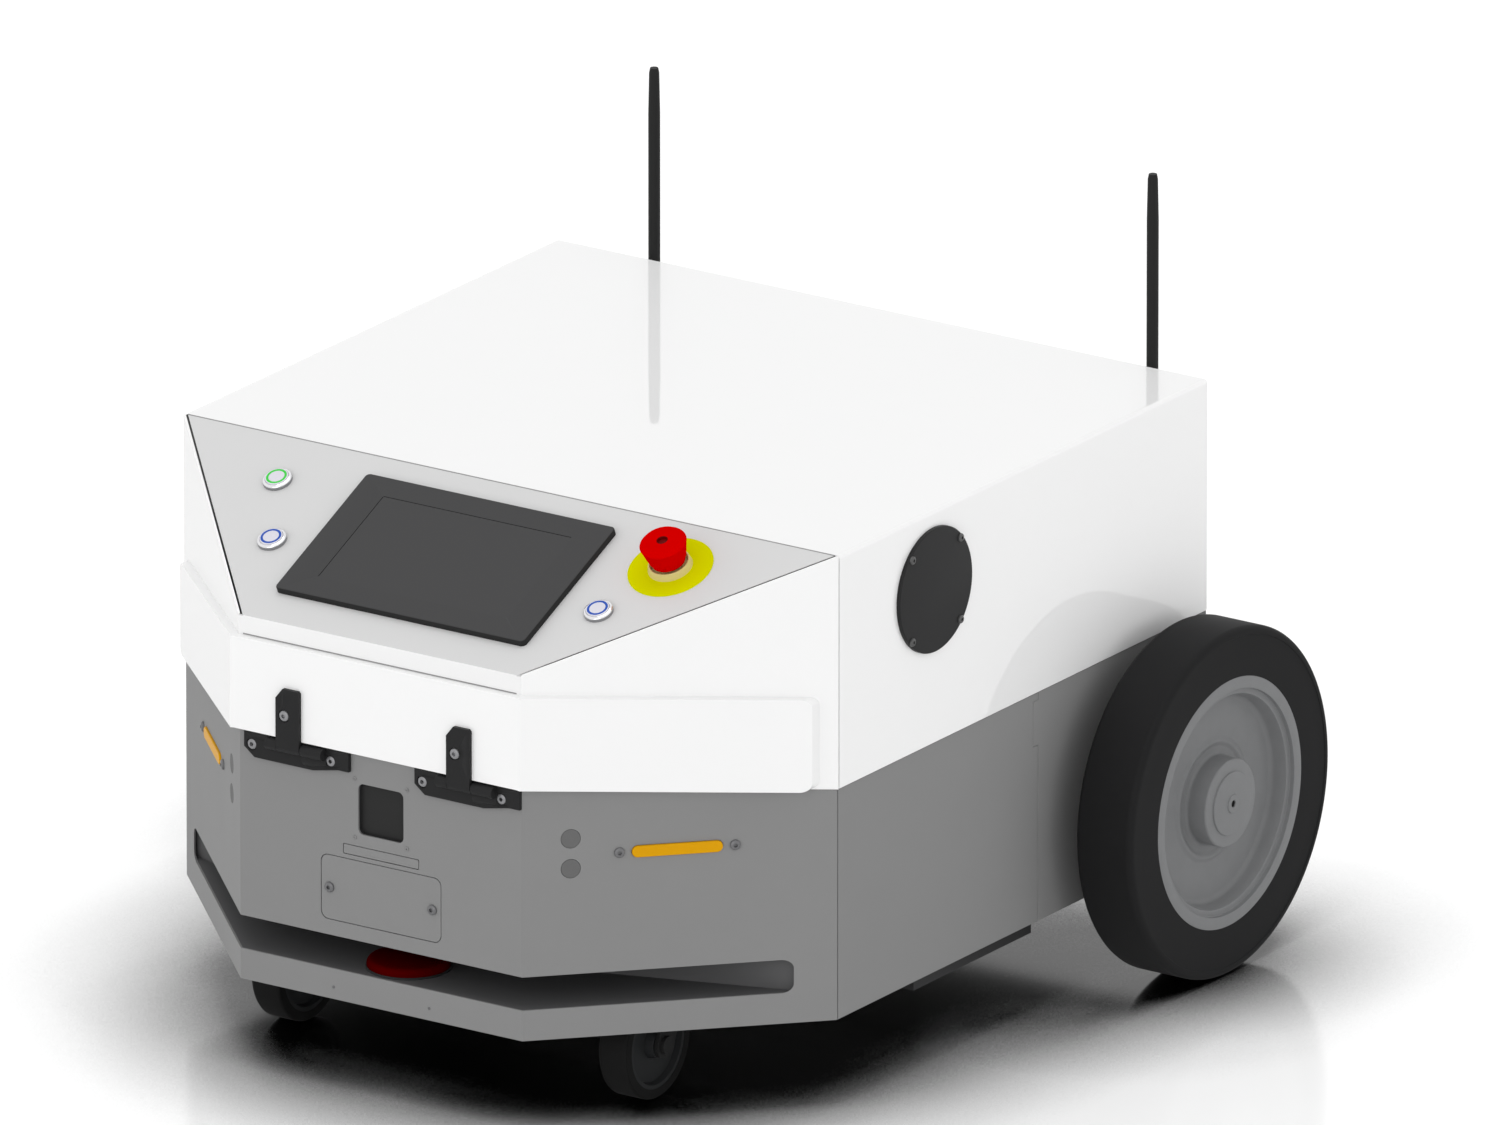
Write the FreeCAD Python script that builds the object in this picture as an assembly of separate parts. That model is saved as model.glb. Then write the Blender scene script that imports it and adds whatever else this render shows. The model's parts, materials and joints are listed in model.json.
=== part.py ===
import FreeCAD, Part
import math
import os

# Autonomous mobile robot: a low tow tractor on two drive wheels and two front castors.
# Millimetres, +Z up, the front faces -Y. Origin on the floor, under the middle of the outer box.
# Lengths named *_back are measured backwards from the front face of the grey skirt.

# Body
body_width = 750.0
body_length = 850.0
facet_width = 324.0
corner_back = 218.0
ground_clearance = 90.0
side_split_height = 231.0
front_split_height = 254.0
body_height = 465.0
panel_foot_height = 366.5
sheet = 2.0
seam_gap = 1.6
panel_gap = 2.0
split_gap = 1.0
fit_gap = 0.2
part_gap = 0.4
flat_left = 0.01
running_gap = 0.05
hood_proud = 1.5
hood_bend_radius = 4.0
flange_width = 8.0
overcut = 1.0
touching = 1e-6

# Raised band round the front of the hood
band_height = 92.5
band_proud = 8.6
band_end_margin = 16.0
band_corner_radius = 8.0
band_cover_height = 55.5

# Hood hinges
hinge_pitch = 196.0
hinge_leaf_width = 27.0
hinge_leaf_rise = 51.0
hinge_leaf_thickness = 4.0
hinge_plate_left = 57.0
hinge_plate_right = 64.0
hinge_plate_height = 20.0
hinge_barrel_radius = 6.0
hinge_pin_radius = 3.0
hinge_axis_drop = 7.5
hinge_axis_front = 8.0
hinge_bevel = 8.0
hinge_left_barrel = 27.0
hinge_right_barrel = 38.0
hinge_knuckle_gap = 0.4
hinge_top_bevel = 2.0

# Scanner slot and bay
slot_bottom = 30.5
slot_top = 64.0
slot_end_margin = 42.0
slot_corner_radius = 9.0
bay_depth = 100.0
bay_half_flat = 60.0
bay_end_past_slot = 14.0
scanner_back = 46.0
scanner_radius = 40.0
scanner_base_height = 5.0
scanner_base_bevel = 1.0
scanner_cap_height = 9.0
scanner_taper_height = 4.0
scanner_top_shrink = 2.5
scanner_top_bevel = 2.0
scanner_window_margin = 1.5

# Camera, service covers, indicators and sonar discs on the grey front
camera_width = 52.0
camera_height = 51.0
camera_corner_radius = 6.0
camera_up = 197.0
camera_depth = 45.0
camera_recess = 3.0
camera_rim = 5.0
window_thickness = 2.0
cover_width = 137.0
cover_height = 64.0
cover_corner_radius = 8.0
cover_up = 112.0
strip_width = 86.0
strip_height = 9.0
strip_corner_radius = 1.5
strip_up = 154.0
cover_gap = 0.8
backing_lip = 7.0
backing_thickness = 2.0
indicator_length = 88.0
indicator_height = 11.5
indicator_along = 150.0
indicator_up = 183.0
indicator_proud = 2.2
indicator_depth = 12.0
sonar_radius = 9.25
sonar_along = 47.0
sonar_up = 170.0
sonar_pitch = 30.0
sonar_depth = 24.0

# Control panel on the slope. Distances "down" run from the top edge down the slope.
screen_case_width = 286.0
screen_case_height = 172.0
screen_case_proud = 7.0
screen_case_corner = 5.0
screen_case_down = 117.0
screen_box_margin = 14.0
screen_box_depth = 38.0
display_width = 216.0
display_height = 120.0
display_thickness = 1.6
display_gap = 0.5
display_corner = 2.0
screen_edge_round = 1.5
stop_inset = 153.0
stop_down = 61.0
stop_disc_radius = 42.0
stop_disc_thickness = 1.2
stop_collar_radius = 22.0
stop_collar_top_radius = 20.0
stop_collar_height = 8.0
stop_cup_top_radius = 18.6
stop_cup_floor_radius = 17.2
stop_cup_floor = 3.0
stop_head_radius = 23.0
stop_head_foot_radius = 16.5
stop_head_bottom = 8.0
stop_top = 35.0
stop_head_dome = 2.0
stop_head_rim = 2.0
stop_head_bevel = 1.0
stop_head_crown = 5.0
stop_key_radius = 4.0
stop_key_depth = 3.0
stop_stem_radius = 9.0
stop_spigot_radius = 7.0
stop_spigot_top = 28.0
stop_body_depth = 30.0
start_inset = 145.0
start_down = 60.0
reset_down = 138.0
bezel_radius = 14.5
bezel_height = 5.0
bezel_bevel = 1.4
bezel_body_radius = 11.0
bezel_body_depth = 28.0
button_cap_radius = 11.6
button_cap_proud = 1.0
button_travel = 2.5
button_floor = 1.0
button_stem_radius = 4.0
button_stem_length = 10.0
button_edge_bevel = 0.6

# Round covers on the hood sides
side_cap_radius = 62.0
side_cap_thickness = 4.0
side_cap_bevel = 1.0
side_cap_back = 378.0
side_cap_up = 387.0

# Grey side sheets
side_seam_ahead_of_wheel = 189.0
seam_tab_length = 8.6
seam_tab_height = 45.0
seam_tab_up = 178.0

# Drive wheels
wheel_radius = 173.0
wheel_rear_margin = 100.0
tyre_width = 64.0
tyre_gap = 31.0
rim_radius = 124.0
tyre_shoulder_width = 7.0
tyre_shoulder_knee = 2.0
tyre_bead_inset = 1.0
rim_flange_inner_radius = 112.0
rim_plane_inset = 1.0
rim_wall = 8.0
rim_lip_height = 5.0
rim_ledge_radius = 106.0
rim_ledge_drop = 1.0
rim_foot_height = 4.0
rim_foot_width = 4.0
dish_depth = 21.5
dish_wall = 7.0
dish_foot_radius = 96.0
ridge_radius = 57.0
ridge_width = 6.0
ridge_height = 2.0
hub_radius = 43.5
hub_foot_width = 3.0
hub_bevel = 2.0
hub_disc_radius = 31.5
hub_disc_height = 2.0
hub_disc_bevel = 1.0
hub_ring_radius = 9.0
hub_ring_height = 1.5
hub_ring_bevel = 0.5
hub_hole_radius = 2.5
axle_radius = 14.0
axle_flange_radius = 38.0
axle_flange_thickness = 8.0
bearing_radius = 30.0
bearing_width = 16.0
axle_inner_length = 14.0

# Drive units
gearbox_radius = 42.0
gearbox_length = 92.0
motor_size = 84.0
motor_length = 128.0
motor_corner = 10.0
drive_plate_thickness = 6.0
drive_plate_inset = 24.0
drive_plate_half_length = 68.0
drive_plate_top = 92.0
drive_plate_bottom = 62.0

# Castors
castor_past_facet = 38.0
castor_ahead_of_corner = 33.0
castor_trail = 35.0
castor_wheel_radius = 55.0
castor_core_radius = 45.0
castor_wheel_width = 32.0
castor_hub_radius = 14.0
castor_hub_width = 38.0
castor_side_gap = 1.0
castor_tread_bevel = 1.5
castor_tread_shoulder = 4.0
castor_web_recess = 6.0
castor_rim_wall = 4.0
castor_rim_taper = 2.0
castor_arm_thickness = 4.0
castor_arm_width = 48.0
castor_arm_foot_radius = 13.0
castor_axle_radius = 5.0
castor_axle_head_radius = 9.0
castor_axle_head = 4.0
castor_crown_radius = 31.0
castor_crown_thickness = 8.0
castor_crown_bevel = 2.0
castor_head_radius = 28.0
castor_head_height = 11.6
castor_head_bevel = 3.0
castor_pin_radius = 6.0
castor_pin_head_radius = 10.0
castor_pin_head_height = 3.0
castor_nut_radius = 11.0
castor_nut_height = 9.0

# Frame
floor_thickness = 3.0
floor_rise = 46.0
rail_width = 22.0
rail_height = 26.0
post_top_drop = 6.0
tray_length = 201.0
tray_past_seam = 6.0
tray_drop = 16.0
tray_inset = 12.0
motor_bay_inner = 118.0

# Inner equipment
battery_side_gap = 65.0
battery_end_gap = 10.5
battery_height = 172.0
battery_middle_gap = 20.0
battery_corner = 8.0
control_box_width = 420.0
control_box_length = 60.0
control_box_height = 190.0
control_box_ahead_of_wheel = 130.0
driver_width = 70.0
driver_length = 38.0
driver_height = 150.0
driver_pitch = 110.0
fin_count = 6
fin_depth = 14.0

# Antennas
antenna_inset = 87.0
antenna_drop = 50.0
antenna_offset = 37.0
antenna_height = 180.0
antenna_socket_radius = 8.0
antenna_socket_length = 14.0
antenna_socket_depth = 12.0
antenna_socket_step = 2.0
antenna_elbow_radius = 6.5
antenna_whip_radius = 5.8
antenna_tip_radius = 5.0
antenna_tip_bevel = 1.0
antenna_taper_length = 45.0
antenna_tongue_width = 5.0
antenna_hinge_radius = 2.0
antenna_ear_thickness = 2.0
antenna_ear_overhang = 1.0
antenna_foot_gap = 1.5
antenna_foot_height = 14.0
antenna_foot_taper = 4.0

# Tow coupling at the rear
coupling_reach = 62.0
coupling_width = 90.0
coupling_up = 92.0
coupling_jaw_thickness = 10.0
coupling_mouth = 40.0
coupling_plate_height = 96.0
coupling_plate_thickness = 8.0
coupling_pin_inset = 24.0
tow_pin_radius = 10.0
tow_pin_knob_radius = 16.0
tow_pin_knob_height = 14.0
coupling_corner_radius = 27.0
tow_pin_point = 2.0
tow_pin_bevel = 3.0

# Places worked out from the sizes
floor_z = ground_clearance
top_z = floor_z + body_height
side_split_z = floor_z + side_split_height
front_split_z = floor_z + front_split_height
foot_z = floor_z + panel_foot_height
band_bottom_z = front_split_z + split_gap
base_z = floor_z + floor_rise
base_top_z = base_z + floor_thickness
wheel_back = body_length - wheel_rear_margin
front_reach = hood_proud + band_proud + hinge_leaf_thickness
rear_reach = max(coupling_reach, wheel_back + wheel_radius - body_length)
total_length = front_reach + body_length + rear_reach
front_y = front_reach - total_length / 2
corner_y = front_y + corner_back
rear_y = front_y + body_length
half_width = body_width / 2
half_facet = facet_width / 2
inner_x = half_width - sheet
chamfer_x = half_width - half_facet
facet_length = math.hypot(chamfer_x, corner_back)
facet_angle = math.degrees(math.atan2(corner_back, chamfer_x))
panel_rise = top_z - foot_z
panel_run = corner_back + hood_proud
panel_angle = math.degrees(math.atan2(panel_rise, panel_run))
panel_length = math.hypot(panel_rise, panel_run)
hinge_y = front_y - hinge_axis_front
hinge_z = front_split_z - hinge_axis_drop
wheel_y = front_y + wheel_back
side_seam_back = wheel_back - side_seam_ahead_of_wheel
tray_rear_back = side_seam_back + tray_past_seam
tray_front_back = tray_rear_back - tray_length
castor_x = half_facet + castor_past_facet
castor_y = corner_y - castor_ahead_of_corner
stop_x = half_width - stop_inset
start_x = start_inset - half_width
reset_x = half_width / 2
antenna_x = half_width - antenna_inset
antenna_y = rear_y + antenna_offset
antenna_z = top_z - antenna_drop
drive_plate_x = half_width - drive_plate_inset
drive_y0 = wheel_y - drive_plate_half_length
drive_y1 = wheel_y + drive_plate_half_length
big = 2 * body_length


def vector(x, y, z):
    return FreeCAD.Vector(x, y, z)


def box(x0, x1, y0, y1, z0, z1):
    """A block between two corners."""
    return Part.makeBox(x1 - x0, y1 - y0, z1 - z0, vector(x0, y0, z0))


def rod(radius, length, start, direction):
    """A round bar from a start point along a direction."""
    return Part.makeCylinder(radius, length, vector(*start), vector(*direction))


def face_of(points):
    """A flat face from corner points that are already vectors."""
    return Part.Face(Part.makePolygon(points + [points[0]]))


def plan_prism(points, z0, z1):
    """A plan outline of (x, y) corners, raised from z0 to z1."""
    return face_of([vector(x, y, z0) for x, y in points]).extrude(vector(0, 0, z1 - z0))


def front_prism(points, y0, y1):
    """A front view of (x, z) corners, pushed from y0 to y1."""
    return face_of([vector(x, y0, z) for x, z in points]).extrude(vector(0, y1 - y0, 0))


def side_prism(points, x0, x1):
    """A side view of (y, z) corners, pushed from x0 to x1."""
    return face_of([vector(x0, y, z) for y, z in points]).extrude(vector(x1 - x0, 0, 0))


def turned(profile, origin, axis):
    """A solid of revolution: a closed profile of (radius, height) corners about an axis at origin."""
    spun = face_of([vector(radius, 0, height) for radius, height in profile])
    solid = spun.revolve(vector(0, 0, 0), vector(0, 0, 1), 360)
    turn = FreeCAD.Rotation(vector(0, 0, 1), vector(*axis))
    solid.Placement = FreeCAD.Placement(vector(*origin), turn)
    return solid


def soften(solid, radius, chosen):
    """Rounds the edges of a solid that the chosen test picks."""
    edges = [edge for edge in solid.Edges if chosen(edge)]
    return solid.makeFillet(radius, edges)


def runs_along(edge, direction):
    """True for a straight edge that is parallel to a direction."""
    ends = edge.Vertexes
    if len(ends) < 2 or edge.Curve.TypeId != "Part::GeomLine":
        return False
    run = ends[1].Point.sub(ends[0].Point)
    run.normalize()
    return abs(abs(run.dot(vector(*direction))) - 1) < touching


def rounded_block(width, height, depth, radius):
    """A block centred on X and Z, from Y = 0 to depth, with round corners seen from the front."""
    block = box(-width / 2, width / 2, 0, depth, -height / 2, height / 2)
    return soften(block, radius, lambda edge: runs_along(edge, (0, 1, 0)))


def moved(shape, x, y, z):
    copy = shape.copy()
    copy.translate(vector(x, y, z))
    return copy


def mirrored(shape):
    """The same shape on the other side of the robot."""
    return shape.mirror(vector(0, 0, 0), vector(1, 0, 0))


def both_sides(shape):
    return [shape, mirrored(shape)]


def joined(shapes):
    """Several solids as one."""
    result = shapes[0]
    if len(shapes) > 1:
        result = result.multiFuse(shapes[1:])
    return result.removeSplitter()


def less(shape, tools):
    """A solid with other solids cut out of it."""
    return shape.cut(Part.makeCompound(tools)) if tools else shape


def save(name, *shapes):
    """Writes one node. Separate solids of a group stay separate."""
    solids = [solid for shape in shapes for solid in shape.Solids]
    node = solids[0] if len(solids) == 1 else Part.makeCompound(solids)
    node.exportStep("parts/" + name + ".step")


def offset_outline(points, distance):
    """A closed convex outline, listed anticlockwise, with every edge moved outwards."""
    count = len(points)
    lines = []
    for index in range(count):
        x0, y0 = points[index]
        x1, y1 = points[(index + 1) % count]
        run = math.hypot(x1 - x0, y1 - y0)
        normal = ((y1 - y0) / run, -(x1 - x0) / run)
        lines.append((normal, normal[0] * x0 + normal[1] * y0 + distance))
    corners = []
    for index in range(count):
        (a, b), c = lines[index - 1]
        (d, e), f = lines[index]
        determinant = a * e - b * d
        corners.append(((c * e - b * f) / determinant, (a * f - c * d) / determinant))
    return corners


body_outline = [
    (-half_facet, front_y),
    (half_facet, front_y),
    (half_width, corner_y),
    (half_width, rear_y),
    (-half_width, rear_y),
    (-half_width, corner_y),
]


def wall(outer, inner, z0, z1):
    """The wall between two offsets of the body outline."""
    outside = plan_prism(offset_outline(body_outline, outer), z0, z1)
    inside = plan_prism(offset_outline(body_outline, inner), z0 - overcut, z1 + overcut)
    return outside.cut(inside)


def ahead_of(y):
    return box(-big, big, -big, y, -big, big)


def behind(y):
    return box(-big, big, y, big, -big, big)


def split_line(rise, half_reach):
    """Front view of the edge between hood and skirt: level in the middle, falling to the sides."""
    slope = (side_split_height - front_split_height) / chamfer_x
    end_z = front_split_z + rise + slope * (half_reach - half_facet)
    middle_z = front_split_z + rise
    return [(-half_reach, end_z), (-half_facet, middle_z), (half_facet, middle_z), (half_reach, end_z)]


def under_split(rise):
    """Everything in the front below the split line."""
    line = split_line(rise, half_width + band_proud + hood_proud)
    return front_prism([(line[0][0], -big)] + line + [(line[-1][0], -big)], -big, big)


def above_split(rise):
    line = split_line(rise, half_width + band_proud + hood_proud)
    return front_prism([(line[0][0], big)] + line + [(line[-1][0], big)], -big, big)


def on_facet(shape, along, z):
    """Puts a shape, made looking along -Y at the origin, on the right front facet."""
    placed = moved(shape, along, 0, 0)
    placed.rotate(vector(0, 0, 0), vector(0, 0, 1), facet_angle)
    return moved(placed, half_facet, front_y, z)


def on_panel(shape, x, down, height=0.0):
    """Puts a shape, made on the XY plane with +Z outwards, on the sloping panel."""
    placed = moved(shape, x, -down, height)
    placed.rotate(vector(0, 0, 0), vector(1, 0, 0), panel_angle)
    return moved(placed, 0, corner_y, top_z)


def panel_block(width, height, low, high, radius):
    """A round-cornered block in panel axes, from one height to another."""
    block = box(-width / 2, width / 2, -height / 2, height / 2, low, high)
    return soften(block, radius, lambda edge: runs_along(edge, (0, 0, 1)))


# Grey skirt: one folded sheet round the three front faces
def slot_cutter():
    along = facet_length - slot_end_margin
    reach = half_facet + along * chamfer_x / facet_length
    z0 = floor_z + slot_bottom
    z1 = floor_z + slot_top
    block = box(-reach, reach, front_y - overcut, corner_y, z0, z1)
    return soften(block, slot_corner_radius, lambda edge: runs_along(edge, (0, 1, 0)))


def front_opening(width, height, radius, up, depth):
    return moved(rounded_block(width, height, depth, radius), 0, front_y - overcut, floor_z + up)


def backing_frame(width, height, radius, up):
    """The ledge behind a flush cover, joined to the inside of the sheet."""
    outer = rounded_block(width + 2 * backing_lip, height + 2 * backing_lip, backing_thickness, radius)
    hole = rounded_block(width - 2 * backing_lip, height - backing_lip, backing_thickness, radius / 2)
    frame = outer.cut(hole)
    return moved(frame, 0, front_y + sheet, floor_z + up)


def make_front_cover():
    skirt = wall(0, -sheet, floor_z, front_split_z)
    skirt = skirt.common(ahead_of(corner_y)).common(under_split(0))
    lip = wall(-sheet, -sheet - flange_width, floor_z, floor_z + sheet).common(ahead_of(corner_y))
    frames = [
        backing_frame(cover_width, cover_height, cover_corner_radius, cover_up),
        backing_frame(strip_width, strip_height, strip_corner_radius, strip_up),
    ]
    skirt = joined([skirt, lip] + frames)
    depth = sheet + overcut
    around = 2 * cover_gap
    holes = [
        slot_cutter(),
        front_opening(camera_width, camera_height, camera_corner_radius, camera_up, depth),
        front_opening(cover_width + around, cover_height + around, cover_corner_radius, cover_up, depth),
        front_opening(strip_width + around, strip_height + around, strip_corner_radius, strip_up, depth),
    ]
    lens_hole = rounded_block(indicator_length + 2 * part_gap, indicator_height + 2 * part_gap,
                              depth + overcut, round_end(indicator_height + 2 * part_gap))
    holes += both_sides(on_facet(moved(lens_hole, 0, -overcut, 0), indicator_along, floor_z + indicator_up))
    for step in (0, 1):
        hole = rod(sonar_radius + part_gap, depth + overcut, (0, -overcut, 0), (0, 1, 0))
        holes += both_sides(on_facet(hole, sonar_along, floor_z + sonar_up + step * sonar_pitch))
    save("front_cover", less(skirt, holes))


def round_end(height):
    """The corner radius that makes a block's end all but a half circle."""
    return height / 2 - flat_left


def make_indicators():
    lens = rounded_block(indicator_length, indicator_height, indicator_proud + indicator_depth,
                         round_end(indicator_height))
    lens = moved(lens, 0, -indicator_proud, 0)
    lens = soften(lens, indicator_proud / 2,
                  lambda edge: abs(edge.CenterOfMass.y + indicator_proud) < touching)
    save("indicator_lenses", *both_sides(on_facet(lens, indicator_along, floor_z + indicator_up)))


def make_sonar_discs():
    discs = []
    for step in (0, 1):
        disc = rod(sonar_radius, sonar_depth, (0, 0, 0), (0, 1, 0))
        discs += both_sides(on_facet(disc, sonar_along, floor_z + sonar_up + step * sonar_pitch))
    save("sonar_discs", *discs)


def make_service_covers():
    cover = rounded_block(cover_width, cover_height, sheet, cover_corner_radius)
    strip = rounded_block(strip_width, strip_height, sheet, strip_corner_radius)
    cover = moved(cover, 0, front_y, floor_z + cover_up)
    save("service_covers", cover, moved(strip, 0, front_y, floor_z + strip_up))


def make_camera():
    outer = rounded_block(camera_width + 2 * camera_rim, camera_height + 2 * camera_rim, camera_depth,
                          camera_corner_radius)
    pocket = rounded_block(camera_width, camera_height, camera_recess + window_thickness + overcut,
                           camera_corner_radius)
    case = moved(outer.cut(moved(pocket, 0, -overcut, 0)), 0, front_y + sheet, floor_z + camera_up)
    save("camera_case", case)
    glass = rounded_block(camera_width - fit_gap, camera_height - fit_gap, window_thickness,
                          camera_corner_radius)
    save("camera_window", moved(glass, 0, front_y + sheet + camera_recess, floor_z + camera_up))


# Scanner bay: floor, roof and back sheet behind the slot
def bay_outline(offset):
    along = facet_length - slot_end_margin + bay_end_past_slot
    end_x = half_facet + along * chamfer_x / facet_length
    end_y = front_y + along * corner_back / facet_length
    inward = offset_outline(body_outline, -offset)
    shift_x = inward[1][0] - half_facet
    shift_y = inward[1][1] - front_y
    back_y = front_y + bay_depth
    right = [
        (half_facet + shift_x, front_y + shift_y),
        (end_x + shift_x, end_y + shift_y),
        (bay_half_flat, back_y),
    ]
    left = [(-x, y) for x, y in reversed(right)]
    return right + left


def make_scanner_bay():
    skin = sheet + fit_gap
    z0 = floor_z + slot_bottom
    z1 = floor_z + slot_top
    outside = plan_prism(bay_outline(skin), z0 - sheet, z1 + sheet)
    hollow = plan_prism(bay_outline(skin), z0, z1)
    hollow = hollow.common(plan_prism(inner_bay_outline(skin), z0, z1))
    save("scanner_bay", outside.cut(hollow))


def inner_bay_outline(skin):
    """The open space of the bay: it runs out through the front and stops short of the back sheet."""
    points = bay_outline(skin)
    (front_x, front_edge), (end_x, end_y), (back_x, back_y) = points[:3]
    ahead = front_edge - sheet
    slope = (end_y - back_y) / (end_x - back_x)
    drop = sheet * math.hypot(1, slope)
    right = [(front_x + sheet, ahead), (end_x + sheet, end_y - drop), (back_x, back_y - drop)]
    left = [(-x, y) for x, y in reversed(right)]
    return right + left


def make_scanner():
    z0 = floor_z + slot_bottom
    base_radius = scanner_radius + scanner_window_margin
    centre = (0, front_y + scanner_back, z0)
    base = turned([
        (0, 0),
        (base_radius, 0),
        (base_radius, scanner_base_height - scanner_base_bevel),
        (base_radius - scanner_base_bevel, scanner_base_height),
        (0, scanner_base_height),
    ], centre, (0, 0, 1))
    save("scanner_base", base)
    low = scanner_base_height
    high = low + scanner_cap_height
    top_radius = scanner_radius - scanner_top_shrink
    cap = turned([
        (0, low),
        (scanner_radius, low),
        (scanner_radius, high - scanner_top_bevel - scanner_taper_height),
        (top_radius, high - scanner_top_bevel),
        (top_radius - scanner_top_bevel, high),
        (0, high),
    ], centre, (0, 0, 1))
    save("scanner_window", cap)


# Grey side sheets, the motor covers behind them and the rear sheet
def make_side_covers():
    start = corner_y + seam_gap
    seam = front_y + side_seam_back
    ahead_end = seam - part_gap
    behind_start = seam + part_gap
    tab_y = seam - seam_tab_length
    tab_z0 = floor_z + seam_tab_up
    tab_z1 = tab_z0 + seam_tab_height
    skin = box(inner_x, half_width, start, ahead_end, floor_z, side_split_z)
    flange = box(inner_x - flange_width, inner_x, start, ahead_end, floor_z, floor_z + sheet)
    notch = box(inner_x - overcut, half_width + overcut, tab_y - part_gap, seam,
                tab_z0 - part_gap, tab_z1 + part_gap)
    cover = joined([skin, flange]).cut(notch)
    save("side_cover_right", cover)
    save("side_cover_left", mirrored(cover))
    motor_skin = box(inner_x, half_width, behind_start, rear_y, floor_z, side_split_z)
    tab = box(inner_x, half_width, tab_y, behind_start, tab_z0, tab_z1)
    flange = box(inner_x - flange_width, inner_x, behind_start, rear_y - sheet - fit_gap,
                 floor_z, floor_z + sheet)
    hole = rod(axle_flange_radius + part_gap, body_width, (0, wheel_y, wheel_radius), (1, 0, 0))
    cover = less(joined([motor_skin, tab, flange]), [hole])
    save("motor_cover_right", cover)
    save("motor_cover_left", mirrored(cover))


def make_rear_cover():
    edge = inner_x - fit_gap
    skin = box(-edge, edge, rear_y - sheet, rear_y, floor_z, side_split_z)
    flange_edge = edge - flange_width
    flange = box(-flange_edge, flange_edge, rear_y - sheet - flange_width, rear_y - sheet,
                 floor_z, floor_z + sheet)
    half = coupling_width / 2 + part_gap
    middle_z = floor_z + coupling_up
    reach = coupling_plate_height / 2 + part_gap
    hole = box(-half, half, rear_y - sheet - overcut, rear_y + overcut, middle_z - reach, middle_z + reach)
    save("rear_cover", less(joined([skin, flange]), [hole]))


# Frame: floor plate, battery tray and the bars welded between them
def make_floor_plate():
    edge = inner_x - fit_gap
    rear = rear_y - sheet - fit_gap
    drop = sheet + fit_gap
    bay = bay_outline(sheet + fit_gap)
    bay_end_x, bay_end_y = bay[1]
    bay_back_x, bay_back_y = bay[2]
    half_plate = [
        (bay_back_x, bay_back_y + fit_gap),
        (bay_end_x, bay_end_y + drop),
        (edge, corner_y + seam_gap),
        (edge, rear),
    ]
    plate = plan_prism(half_plate + [(-x, y) for x, y in reversed(half_plate)], base_z, base_top_z)
    motor_gap = box(motor_bay_inner, drive_plate_x - drive_plate_thickness, drive_y0, drive_y1,
                    base_z - overcut, base_top_z + overcut)
    bolt_hole = rod(castor_pin_radius + running_gap, floor_thickness + 2 * overcut,
                    (castor_x, castor_y, base_z - overcut), (0, 0, 1))
    tray_hole = tray_block(floor_thickness, base_z - overcut, base_top_z + overcut)
    cuts = [tray_hole]
    for cutter in (motor_gap, bolt_hole, drive_plate_block(), gearbox_hole()):
        cuts += both_sides(cutter)
    save("floor_plate", less(plate, cuts))


def tray_block(inset, z0, z1):
    x = half_width - tray_inset - inset
    return box(-x, x, front_y + tray_front_back + inset, front_y + tray_rear_back - inset, z0, z1)


def make_battery_tray():
    """An open box that hangs under the floor plate."""
    tray_z = floor_z - tray_drop
    outside = tray_block(0, tray_z, base_z)
    save("battery_tray", outside.cut(tray_block(floor_thickness, tray_z + floor_thickness, base_z + overcut)))


def drive_plate_block():
    """The upright plate that carries a gearbox and an axle bearing, before its hole."""
    return box(drive_plate_x - drive_plate_thickness, drive_plate_x, drive_y0, drive_y1,
               wheel_radius - drive_plate_bottom, wheel_radius + drive_plate_top)


def gearbox_hole():
    return rod(gearbox_radius + running_gap, body_width, (0, wheel_y, wheel_radius), (1, 0, 0))


def make_frame_bars():
    """Rails and posts along both sides, a beam at the rear and the two drive plates."""
    edge = inner_x - fit_gap
    rear = rear_y - sheet - fit_gap
    start = corner_y + seam_gap
    rail_top = base_top_z + rail_height
    post_top = side_split_z - post_top_drop
    beam_y = rear - rail_width
    rail_x = edge - rail_width
    upper_rail_z = post_top - rail_height
    bars = [
        box(rail_x, edge, start + rail_width, drive_y0 - rail_width, base_top_z, rail_top),
        box(rail_x, edge, drive_y1, beam_y, base_top_z, rail_top),
        box(rail_x, edge, start, rear, upper_rail_z, post_top),
        box(rail_x, edge, beam_y, rear, rail_top, upper_rail_z),
        drive_plate_block().cut(gearbox_hole()),
    ]
    for y in (start, drive_y0 - rail_width):
        bars.append(box(rail_x, edge, y, y + rail_width, base_top_z, upper_rail_z))
    beam = box(-edge, edge, beam_y, rear, base_top_z, rail_top)
    save("frame_bars", *[shape for bar in bars for shape in both_sides(bar)], beam)


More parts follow.
